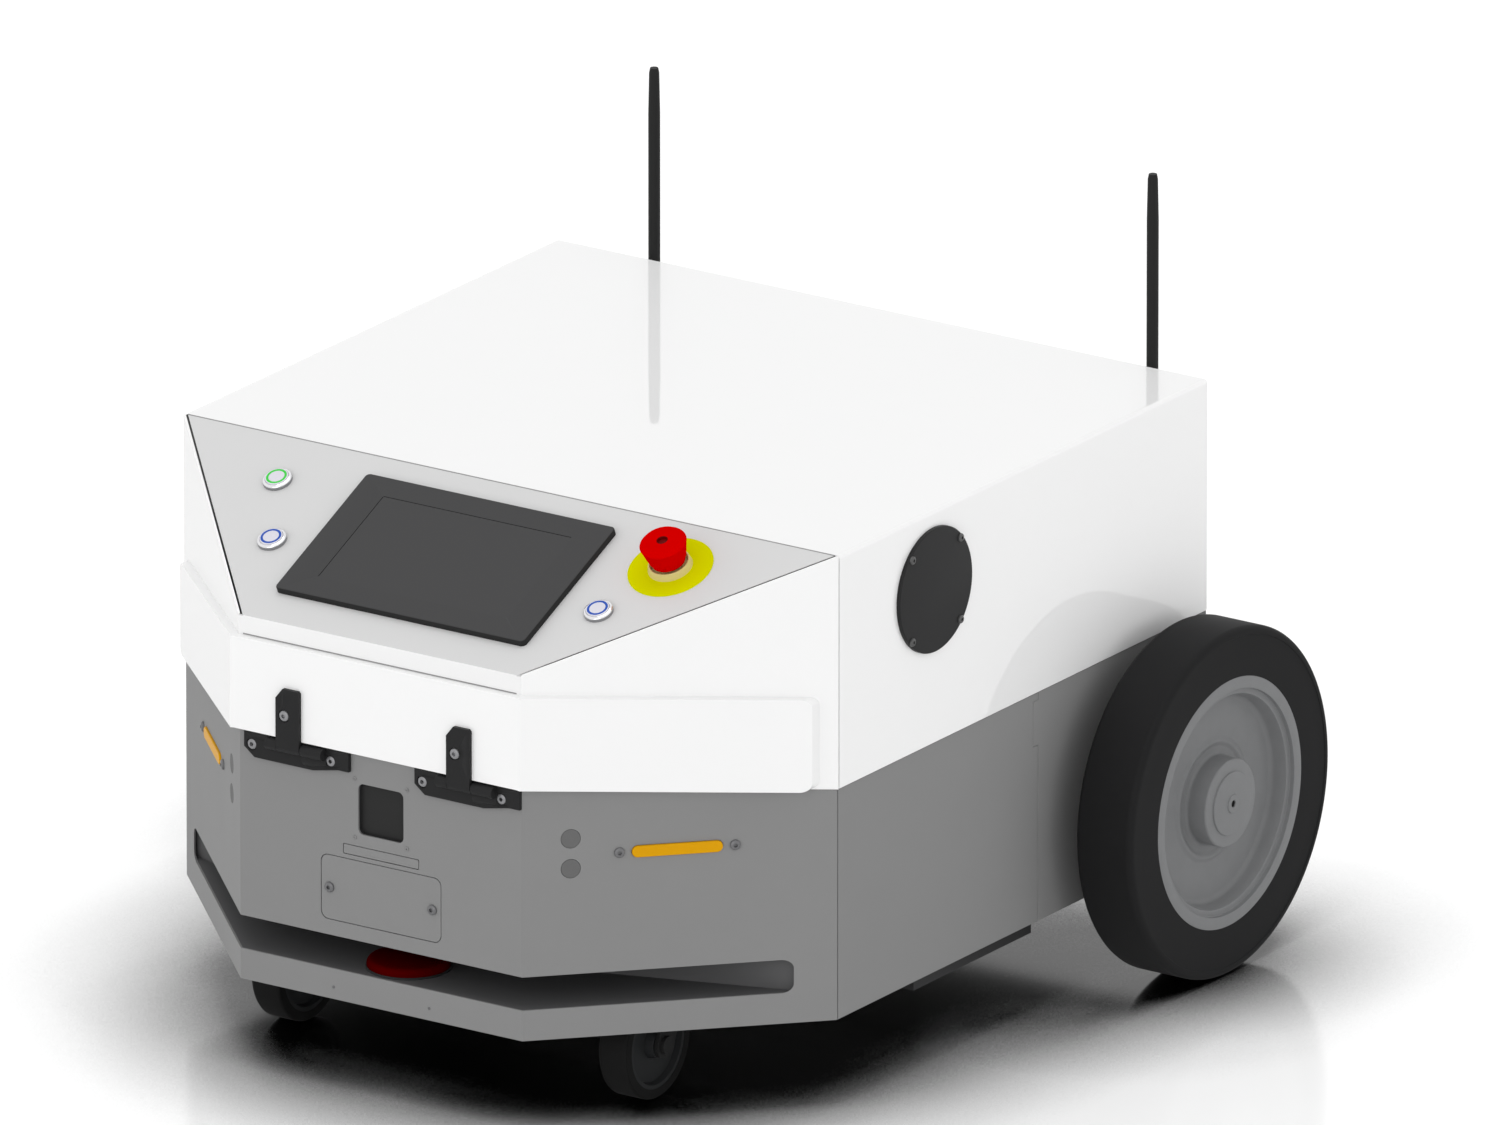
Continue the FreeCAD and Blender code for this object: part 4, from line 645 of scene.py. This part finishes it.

# %% [markdown]
# Where two sheets meet, a near-black strip stands in the joint and paints the shade in the gap, so a seam shows
# as a thin grey line and not as a bright gap. One strip stands in each corner joint of the hood, and one lies
# along each side of the slope. Above the slope and over the front of the band, finer, paler strips paint the
# shade of the closed joints.

# %% Seam strips
corner_gap_wide = 2.0
slope_gap_wide = 3.2
line_wide = 1.0
line_proud = 0.3
band_line_tall = 2.4
strip_thick = 1.5
below_sheet = 0.8
below_slope = 0.5
strip_foot = 4
strip_head = 6
gap_middle = 1
nose_setback = 3
shortest_strip = 2
shell_low, shell_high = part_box("hood_shell")
front_low, front_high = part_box("hood_front")
panel_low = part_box("control_panel")[0]
panel_corners = islands("control_panel")[0]
slope_reach = span(panel_corners, panel_out)[1]
on_slope = [c for c in panel_corners if c.dot(panel_out) > slope_reach - 0.3 * mm]
nose_half = max(c.x for c in on_slope if c.y < panel_low.y + 1 * mm)
slope_half = max(c.x for c in on_slope)
slope_back = max(c.y for c in on_slope)
shoulder_y = min(c.y for c in on_slope if c.x > slope_half - 0.1 * mm)


def on_panel_plane(x, y):
    """The point of the slope's upper surface above a place in plan."""
    return Vector((x, y, (slope_reach - panel_out.y * y) / panel_out.z))


def main_facing(node, side):
    """The forward direction that most of a node's upright surface on one side of the robot faces."""
    shares = {}
    for face in frame["nodes"][node].data.polygons:
        if side * face.center.x > 0 and face.normal.dot(ahead) > 0.1 and abs(face.normal.z) < 0.1:
            facing_key = tuple(round(v, 3) for v in face.normal)
            shares[facing_key] = shares.get(facing_key, 0) + face.area
    return Vector(max(shares, key=shares.get)).normalized()


slope_top = [on_panel_plane(side * slope_half, slope_back) for side in (-1, 1)]
band_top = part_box("front_band")[1].z
lip_ends = [Vector((side * nose_half, panel_low.y, band_top)) for side in (-1, 1)]
# Grey strips that paint the shade along the slope's top edge and the band's top edge.
shade_lines = [bar(*slope_top, rightwards.cross(panel_out), line_wide, panel_out, line_proud),
              bar(*lip_ends, up, band_line_tall, ahead, line_proud)]
# Near-black strips set in the open seams paint the shade in the gaps.
strips = []
seam_y = (shell_low.y + front_high.y) / 2
for side in sides.values():
    outer = Vector((side, 0, 0))
    face_x = side * (shell_high.x - below_sheet * mm)
    strips.append(bar(Vector((face_x, seam_y, front_low.z + strip_foot * mm)),
                      Vector((face_x, seam_y, shell_high.z - strip_head * mm)),
                      -ahead, corner_gap_wide, -outer, strip_thick))
    slope_edge = side * (slope_half + gap_middle * mm)
    turns = [on_panel_plane(side * (nose_half + gap_middle * mm), panel_low.y + nose_setback * mm),
             on_panel_plane(slope_edge, shoulder_y), on_panel_plane(slope_edge, slope_back)]
    for start, end in zip(turns, turns[1:]):
        if (end - start).length < shortest_strip * mm:
            continue
        along = (end - start).normalized()
        lowered = panel_out * below_slope * mm
        strips.append(bar(start - lowered, end - lowered, along.cross(panel_out), slope_gap_wide, -panel_out,
                          strip_thick))
# Both sets of strips carry painted shade: near black in the open seams, grey along the closed joints.
for name, lines, finish in (("hood_seam_strips", strips, seam_shade),
                            ("hood_fine_lines", shade_lines, joint_shade)):
    add_piece(name, merged(name, lines), finish, "hood")
print("slope from", round(nose_half, 4), "to", round(slope_half, 4))

# %% [markdown]
# The drive wheels show best of all. The tyre is a solid rubber band with a rounded shoulder. The rim is a
# grey casting: a flat ring flush with the tyre, a ledge, a cone down to the web with a soft ring pressed in
# it, and the hub with its cover disc. Both are turned about the axle from one profile each.

# %% Drive wheels
tyre_radius = 173
tyre_wide = 64
shoulder_round = 6.5
shoulder_centre = tyre_radius - shoulder_round
tyre_profile = ([(124, 1.0), (148, 0.2)] + arc(shoulder_centre, shoulder_round, shoulder_round, -90, 0)
                + arc(shoulder_centre, tyre_wide - shoulder_round, shoulder_round, 0, 82)
                + [(165.6, 64.0), (164.8, 64.0), (164.3, 63.3), (163.0, 63.2), (148, 63.5), (124, 63)])
web = 41.5
pressed_outer = 63
pressed_wide = 12
pressed_high = 2.0
pressed_steps = 12
pressed_ring = [(pressed_outer - pressed_wide * step / pressed_steps,
                 web + pressed_high * math.sin(math.pi * step / pressed_steps) ** 2)
                for step in range(pressed_steps + 1)]
rim_profile = (
    [(14, 34.5), (96, 34.5), (116, 6), (116, 1), (124, 1)] + arc(123.5, 62.5, 0.5, 0, 90, 3)
    + arc(112.6, 62.4, 0.6, 90, 180, 3) + arc(111.0, 59.0, 1.0, 0, -90, 4) + arc(106.6, 57.2, 0.8, 90, 170, 4)
    + [(103.5, 49.5)] + arc(96.5, 48.0, 6.5, -15, -90, 6) + pressed_ring
    + arc(47.0, 45.0, 3.5, -90, -180, 5) + arc(41.5, 62.0, 2.0, 0, 90, 4)
    + [(32.3, 64.0), (31.5, 64.3)] + arc(30.5, 65.2, 1.0, 0, 90, 3)
    + [(9.6, 66.2), (9.1, 66.5)] + arc(8.4, 67.0, 0.6, 0, 90, 3)
    + [(3.8, 67.6), (3.5, 67.3), (3.5, 60), (0, 60), (0, 34.5)])
# A near-black disc set just under the mouth of the axle hole paints the shade inside the hole.
hole_shade_profile = [(0, 60.2), (3.4, 60.2), (3.4, 66.4), (0, 66.4)]
for side_name, side in sides.items():
    out = Vector((side, 0, 0))
    tyre = islands("tyre_" + side_name)[0]
    foot = foot_point(tyre, out)
    body = "wheel_" + side_name
    turned("tyre_band_" + side_name, tyre_profile, foot, out, tyre_rubber, body, ("tyre_" + side_name,), 160)
    turned("rim_casting_" + side_name, rim_profile, foot, out, rim_paint, body, ("rim_" + side_name,), 128)
    turned("hub_plug_" + side_name, hole_shade_profile, foot, out, hole_shade_dark, body, steps=24)
print("tyre", [round(v * 1000, 1) for v in span(tyre, up)])

# %% [markdown]
# The castors are small solid wheels in a stamped fork. Tread and core are turned, and the fork is copied with
# broken edges. The core is dark plastic made darker still, and the fork and mounts are near black: painted
# shade for the deep shade under the body.

# %% Castors
half_tread = [(45, -16), (53.5, -16)] + arc(52.0, -13.0, 3.0, -80, 0, 4)
half_core = [(5.1, -19), (13.5, -19), (14, -18.5), (16, -10), (39, -10), (41, -15.6), (45, -15.6)]
for side_name, side in sides.items():
    out = Vector((side, 0, 0))
    for node, half, name, material in (("castor_tread_", half_tread, "castor_tyre_", castor_rubber),
                                       ("castor_core_", half_core, "castor_hub_", castor_core)):
        centre = middle_of(islands(node + side_name)[0])
        whole = half + [(radius, -height) for radius, height in reversed(half)]
        turned(name + side_name, whole, centre, out, material, "castor_wheel_" + side_name,
               (node + side_name,), 64)
    bevelled("castor_fork_" + side_name, "castor_bracket_" + side_name, castor_metal_shade,
             "castor_swivel_" + side_name, edge=0.6)
print("castor radius", half_tread[-1][0])

# %% [markdown]
# Two cast hinges carry the hood at its front edge. Each has a tall leaf on the hood's band and a long plate on
# the skirt, with the pin's barrel between them. The long plate is cast to an outline, chamfered at its left
# end and rising at its right, with a tapered boss beside the leaf, so its front is one extruded outline. Their
# screws are sunk in round pockets, so the pockets are cut first and the screws stand in them. All the places
# follow from the leaves.

# %% Hinges
pocket_radius = 6.2
pocket_depth = 2.2
leaf_screw_drop = 27
leaf_screw_left = 4
ear_left = 47.5
ear_right = 43
ear_screw_up = 7.4
least_plate_height = 15
plate_thick = 4
plate_cover = 0.3
plate_outline = [(-56.4, -0.3), (-56.4, -15.8), (-44.5, -25.2), (23, -25.4), (63.6, -17.4), (63.6, -0.3)]
boss_profile = [(0, 13), (8.6, 13), (8.8, 14), (8.4, 24), (6.4, 36), (5.0, 38.5), (0, 39)]
boss_behind = 3.6
boss_drop = 14.5

reaches = [span(solid, up) for solid in islands("hinge_lower_leaves")]
plates = [(low, high) for low, high in reaches if high - low > least_plate_height * mm]
plate_low = min(low for low, high in plates)
plate_top = max(high for low, high in plates)
plate_face = skirt_low.y - plate_thick * mm
leaf_seats = []
ear_seats = []
plate_fronts = []
bosses = []
for leaf in islands("hinge_upper_leaves"):
    low, high = Vector(map(min, zip(*leaf))), Vector(map(max, zip(*leaf)))
    middle_x = (low.x + high.x) / 2
    leaf_seats.append(Vector((middle_x - leaf_screw_left * mm, low.y, high.z - leaf_screw_drop * mm)))
    for x in (-ear_left, ear_right):
        ear_seats.append(Vector((middle_x + x * mm, plate_face, plate_low + ear_screw_up * mm)))
    plate_fronts.append(prism("plate", *[[Vector((middle_x + x * mm, y, plate_top + z * mm))
                                          for x, z in plate_outline]
                                         for y in (plate_face - plate_cover * mm, skirt_low.y)]))
    boss_seat = Vector((middle_x, plate_face + boss_behind * mm, plate_top - boss_drop * mm))
    bosses.append(turned_mesh("boss", boss_profile, boss_seat, rightwards, 48))
leaf_holes, ear_holes = [[drilled(seat, ahead, pocket_radius, pocket_depth) for seat in seats]
                         for seats in (leaf_seats, ear_seats)]
bevelled("hinge_upper_leaves", "hinge_tall_leaves", black_cast, "hood", edge=0.5, steps=2,
         holes=leaf_holes)
bevelled("hinge_lower_leaves", "hinge_long_plates", black_cast, "chassis", edge=0.5, steps=2)
holder = linked("plates", merged("plates", plate_fronts))
cut_plates = flattened(holder, cut_out(holder, [merged("pockets", ear_holes)]))
add_piece("hinge_plate_faces", even_normals(merged("hinge_plate_faces", [cut_plates] + bosses)), black_cast,
          "chassis")
print("hinge screws", len(leaf_seats) + len(ear_seats))

# %% [markdown]
# The scanner looks out of the slot: a dark red window with a rounded top edge on a black foot. Both are
# turned about the scanner's upright axis. The window sits low, so that the slot's lip hides its lower edge.

# %% Scanner
window_foot = foot_point(islands("scanner_window")[0], up)
window_profile = ([(0, -3.5), (39.6, -3.5), (40, -3.1), (40, -1.5)] + arc(34.5, -1.0, 5.5, 5, 80, 7)
                  + [(30, 4.8), (0, 5.0)])
turned("scanner_dome", window_profile, window_foot, up, scanner_red, "chassis", ("scanner_window",))
base_foot = foot_point(islands("scanner_base")[0], up)
base_profile = [(0, 0), (41.5, 0), (41.5, 0.8)] + arc(40.4, 0.9, 1.1, 0, 90, 4) + [(0, 2.0)]
turned("scanner_foot", base_profile, base_foot, up, black_plastic, "chassis", ("scanner_base",))
print("scanner at", [round(v, 3) for v in window_foot])

# %% [markdown]
# The control panel has three round push buttons in chromed bezels. Each cap is white with a lit ring, green
# for start and blue for the two resets. The bezel is a domed ring with a duller outer wall. Bezel, cap and
# ring are turned about the button's own axis.

# %% Push buttons
wall_lean = 0.2
bezel_profile = ([(4.1, -28), (11, -28), (11, 0), (14.5, 0), (14.5, 1.6)] + arc(12.6, 2.7, 1.9, 0, 60, 4)
                 + [(12.4, 4.8), (11.9, 5.0), (11.65, 4.6), (11.65, 1.0), (4.1, 1.0)])
cap_profile = ([(0, -6.1), (4, -6.1), (4, 3.9), (11.5, 3.9), (11.5, 5.3)] + arc(10.9, 5.35, 0.6, 0, 90, 3)
               + [(0, 6.0)])
ring_profile = [(7.9, 5.9), (10.3, 5.9), (10.2, 6.12), (8.0, 6.12)]
bezels = []
for node, ring_finish in (("start_button", ring_green), ("reset_button_right", ring_blue),
                          ("reset_button_left", ring_blue)):
    seat = foot_point(islands(node)[0], panel_out)
    seat += panel_out * (slope_reach - seat.dot(panel_out))
    bezels.append(turned_mesh("bezel", bezel_profile, seat, panel_out, 64))
    turned(node + "_cap", cap_profile, seat, panel_out, button_white, node, (node,), 64)
    turned(node + "_light", ring_profile, seat, panel_out, ring_finish, node, steps=64)
collars = add_piece("button_collars", merged("button_collars", bezels), chrome, "hood", ("button_bezels",))
refinished(collars, screw_pale, lambda face: abs(face.normal.dot(panel_out)) < wall_lean)
print("buttons", len(bezels))

# %% [markdown]
# The emergency stop is a red mushroom head in a beige cup on a yellow disc. The head widens towards its top
# edge and has a small recess in the middle, painted a darker red as the shade in it.

# %% Emergency stop
painted_shade_radius = 5.6
stop_seat = foot_point(islands("stop_disc")[0], panel_out)
disc_profile = [(11.2, 0), (42, 0), (42, 0.8), (41.6, 1.2), (11.2, 1.2)]
cup_profile = ([(9.1, -30), (11, -30), (11, 1.2), (22, 1.2), (21.6, 2.4), (20.6, 6.6)]
               + arc(19.3, 7.2, 0.8, 20, 160, 5) + [(17.2, 3.0), (9.1, 3.0)])
head_profile = ([(7.1, 8.0), (15.9, 8.0), (16.5, 8.6), (16.8, 12.6), (18.6, 13.8), (20.0, 19), (22.4, 29.2)]
                + arc(21.4, 30.9, 1.6, -15, 60, 5) + arc(17.6, 29.6, 5.4, 62, 88, 4)
                + [(6.2, 35.0), (5.6, 34.8), (5.2, 34.0), (5.0, 32.0), (0, 32.0), (0, 28.4), (7.1, 28.4)])
stem_profile = [(0, -15), (9, -15), (9, 7.6), (7, 7.6), (7, 28), (0, 28)]
turned("stop_backing", disc_profile, stop_seat, panel_out, stop_yellow, "hood", ("stop_disc",))
turned("stop_cup", cup_profile, stop_seat, panel_out, stop_beige, "hood", ("stop_collar",))
mushroom = turned("stop_mushroom", head_profile, stop_seat, panel_out, stop_red, "stop_head", ("stop_head",))
# Painted shade: the faces near the axis, in the recess, get the darker red.
refinished(mushroom, stop_dark_red_and_shade,
           lambda face: (face.center - stop_seat).cross(panel_out).length < painted_shade_radius * mm)
turned("stop_spindle", stem_profile, stop_seat, panel_out, stop_dark_red_and_shade, "stop_stem", ("stop_stem",), 48)
print("stop button at", [round(v, 3) for v in stop_seat])

# %% [markdown]
# The screen is a flat dark case with the display let into it. The display stands a hair lower than the case
# and reaches its lower and right edges, so only its top and left edges show as a fine dark line. The case's
# side walls carry a painted shade, darker than its face.

# %% Screen
faces_up_slope = 0.7
recess_gap = 0.5 * mm
sunk = 0.25 * mm
housing = bevelled("screen_case", "screen_housing", screen_plastic, "hood", edge=0.5, steps=2)
# Painted shade: the case's side walls get the darker finish.
refinished(housing, screen_wall_shade, lambda face: face.normal.dot(panel_out) < faces_up_slope)
display = islands("screen_glass")[0]
slope_down = panel_out.cross(rightwards)
slope_down = slope_down if slope_down.z < 0 else -slope_down
across_low, across_high = span(display, rightwards)
down_low, down_high = span(display, slope_down)
out_low, out_high = span(display, panel_out)
pane_middle = slope_down * ((down_low + down_high + recess_gap) / 2)
pane = bar(rightwards * across_low + pane_middle, rightwards * (across_high + recess_gap) + pane_middle,
           slope_down, (down_high - down_low + recess_gap) / mm, panel_out, (out_high - sunk - out_low) / mm)
pane.transform(Matrix.Translation(panel_out * out_low))
add_piece("display_pane", pane, screen_glass, "hood", ("screen_glass",))
print("display", round((across_high - across_low) / mm), "by", round((down_high - down_low) / mm), "mm")

# %% [markdown]
# Each side of the hood has a round black plastic cover with four screws at its rim. Behind it is the opening
# through which the hood's gas springs are reached on such a machine. It is turned with a soft edge.

# %% Side covers of the hood
cover_thick = 4.0
screw_offset = 41
cap_edge = [(0, 0), (62, 0), (62, 2.8)] + arc(60.8, 2.8, 1.2, 0, 90, 5) + [(0, cover_thick)]
covers = []
cover_seats = []
for solid in islands("side_caps"):
    out = rightwards if middle_of(solid).x > 0 else -rightwards
    foot = foot_point(solid, out)
    covers.append(turned_mesh("cover", cap_edge, foot, out, 128))
    for along in (-1, 1):
        for high in (-1, 1):
            place = foot + out * cover_thick * mm + Vector((0, along, high)) * screw_offset * mm
            cover_seats.append((place, out))
add_piece("hood_side_covers", merged("hood_side_covers", covers), black_plastic, "hood", ("side_caps",))
print("side covers", len(covers))

# %% [markdown]
# Two rod antennas stand behind the hood. Each whip is a plastic tube that narrows a little towards its domed
# tip, with a thicker sleeve where it folds on the elbow. The elbow turns in a threaded socket in the wall.

# %% Antennas
for side_name in sides:
    for node, name, edge in (("antenna_elbow_", "antenna_joint_", 0.6), ("antenna_whip_", "antenna_rod_", 0.5)):
        bevelled(node + side_name, name + side_name, antenna_plastic, node + side_name, edge=edge)
bevelled("antenna_sockets", "antenna_sleeves", antenna_plastic, "hood", edge=0.6)
low, high = span(islands("antenna_whip_left")[0], up)
print("antenna whip", round((high - low) / mm), "mm long")

# %% [markdown]
# The rear carries the tow coupling: two jaws on a plate and a lifting pin. Both are copied with broken edges.

# %% Tow coupling
bevelled("tow_coupling", "tow_jaws", dark_paint, "chassis", edge=0.8)
bevelled("tow_pin", "tow_bolt", bright_steel, "tow_pin", edge=0.3)

# %% [markdown]
# Screws come last and from Geometry Nodes, because there are many of one kind. One button head with a hexagon
# socket is modelled once, with a radius of one, and scaled where it is used. A cloud of points says where
# the heads sit, which way each faces and how large it is. The tree puts a head on each point, turns it to
# face outwards, twists it at random from a fixed seed as a fitter leaves it, and sets the finish.

# %% One screw head
head_steps = 24
head_rings = [(1.0, -0.02), (1.0, 0.12), (0.95, 0.32), (0.82, 0.46), (0.62, 0.53)]
socket_across = 0.36
socket_floor = 0.16


def hexagon_reach(angle):
    """How far a hexagon with inner radius 1 reaches at an angle."""
    return 1 / math.cos((angle + math.pi / 6) % (math.pi / 3) - math.pi / 6)


head_work = bmesh.new()
rings = []
for radius, height in head_rings + [("hexagon", 0.54), ("hexagon", socket_floor)]:
    ring = []
    for step in range(head_steps):
        angle = 2 * math.pi * step / head_steps
        reach = socket_across * hexagon_reach(angle) if radius == "hexagon" else radius
        ring.append(head_work.verts.new((reach * math.cos(angle), reach * math.sin(angle), height)))
    rings.append(ring)
for lower, upper in zip(rings, rings[1:]):
    for step in range(head_steps):
        following = (step + 1) % head_steps
        head_work.faces.new((lower[step], lower[following], upper[following], upper[step]))
head_work.faces.new(rings[-1])
head_work.faces.new(list(reversed(rings[0])))
head_mesh = mesh_from(head_work, "screw_head", outwards=False)
print("screw head", len(head_mesh.polygons), "faces")

# %% The tree that seats screws
tree = bpy.data.node_groups.new("seat_screws", "GeometryNodeTree")
tree.is_modifier = True
for socket_name, kind in (("Seats", "Geometry"), ("Head", "Object"), ("Head radius", "Float"),
                          ("Twist seed", "Int"), ("Finish", "Material")):
    tree.interface.new_socket(socket_name, in_out="INPUT", socket_type="NodeSocket" + kind)
tree.interface.new_socket("Screws", in_out="OUTPUT", socket_type="NodeSocketGeometry")
socket_id = {item.name: item.identifier for item in tree.interface.items_tree}

given = add_node(tree, "NodeGroupInput", {}).outputs
template = add_node(tree, "GeometryNodeObjectInfo", {"Object": given["Head"]})
facing = add_node(tree, "GeometryNodeInputNamedAttribute", {"Name": "facing"}, data_type="FLOAT_VECTOR")
turn_out = add_node(tree, "FunctionNodeAlignRotationToVector", {"Vector": facing.outputs["Attribute"]},
                    axis="Z")
twist = add_node(tree, "FunctionNodeRandomValue", {"Max": 2 * math.pi, "Seed": given["Twist seed"]},
                 data_type="FLOAT")
twist_turn = add_node(tree, "FunctionNodeAxisAngleToRotation", {"Axis": (0, 0, 1), "Angle": twist.outputs[1]})
together = add_node(tree, "FunctionNodeRotateRotation", {"Rotation": turn_out.outputs["Rotation"],
                                                         "Rotate By": twist_turn.outputs["Rotation"]},
                    rotation_space="LOCAL")
heads = add_node(tree, "GeometryNodeInstanceOnPoints",
                 {"Points": given["Seats"], "Instance": template.outputs["Geometry"],
                  "Rotation": together.outputs["Rotation"], "Scale": given["Head radius"]})
solid_heads = add_node(tree, "GeometryNodeRealizeInstances", {"Geometry": heads.outputs["Instances"]})
painted = add_node(tree, "GeometryNodeSetMaterial",
                   {"Geometry": solid_heads.outputs["Geometry"], "Material": given["Finish"]})
add_node(tree, "NodeGroupOutput", {"Screws": painted.outputs["Geometry"]})
print("tree with", len(tree.nodes), "nodes")

# %% Seats and screws
lens_proud = 2.2
head_proud = 0.2
camera_screw = (30, 29.5)
lid_screw_out = 59
lip_screw_out = 55
lip_screw_up = 12
lens_screw_out = 56
head_object = linked("screw_head", head_mesh)


def screws(name, seats, radius, finish, body, slot, seed):
    """One mesh of equal screws. A seat is a point and the direction that the head faces."""
    cloud = bpy.data.meshes.new(name)
    cloud.from_pydata([seat for seat, out in seats], [], [])
    way = cloud.attributes.new("facing", "FLOAT_VECTOR", "POINT")
    way.data.foreach_set("vector", [value for seat, out in seats for value in out])
    holder = linked(name, cloud)
    seating = holder.modifiers.new("seat_screws", "NODES")
    seating.node_group = tree
    seating[socket_id["Head"]] = head_object
    seating[socket_id["Head radius"]] = radius * mm
    seating[socket_id["Twist seed"]] = seed
    seating[socket_id["Finish"]] = finish
    mesh = flattened(holder)
    add_piece(name, mesh, finish, body)
    print(name, len(seats), "screws,", len(mesh.polygons), "faces")


def sunk_seats(places):
    """Seats at the bottom of the hinges' pockets."""
    return [(place - ahead * (pocket_depth - head_proud) * mm, ahead) for place in places]


def front_seat(x, z):
    """A seat on the skirt's front."""
    return Vector((x, skirt_low.y, z)), ahead


camera_middle = middle_of(islands("camera_window")[0])
lids = islands("service_covers")
lid_widths = [span(solid, rightwards)[1] - span(solid, rightwards)[0] for solid in lids]
lid_middle = middle_of(lids[lid_widths.index(max(lid_widths))])
camera_seats = [front_seat(camera_middle.x + way * camera_screw[0] * mm,
                           camera_middle.z + high * camera_screw[1] * mm)
                for way in (-1, 1) for high in (-1, 1)]
lid_seats = [front_seat(lid_middle.x + way * lid_screw_out * mm, lid_middle.z) for way in (-1, 1)]
lip_seats = [front_seat(way * lip_screw_out * mm, skirt_low.z + lip_screw_up * mm) for way in (-1, 1)]
lens_seats = []
for lens in islands("indicator_lenses"):
    middle = middle_of(lens)
    out = main_facing("indicator_lenses", 1 if middle.x > 0 else -1)
    flat_middle = middle + out * (span(lens, out)[1] - lens_proud * mm - middle.dot(out))
    for end in (-1, 1):
        lens_seats.append((flat_middle + up.cross(out) * end * lens_screw_out * mm, out))
for order in (
        ("skirt_screws", lid_seats + lens_seats, 5.2, screw_zinc, "chassis", "bright_steel", 3),
        ("camera_screws", camera_seats, 2.1, grey_paint, "chassis", "grey_paint", 5),
        ("lip_screws", lip_seats, 1.5, screw_zinc, "chassis", "bright_steel", 7),
        ("hinge_screws_low", sunk_seats(ear_seats), 5.4, screw_pale, "chassis", "bright_steel", 11),
        ("hinge_screws_high", sunk_seats(leaf_seats), 5.4, screw_pale, "hood", "bright_steel", 13),
        ("side_cover_screws", cover_seats, 4.2, screw_black, "hood", "black_plastic", 17)):
    screws(*order)
bpy.data.objects.remove(head_object)
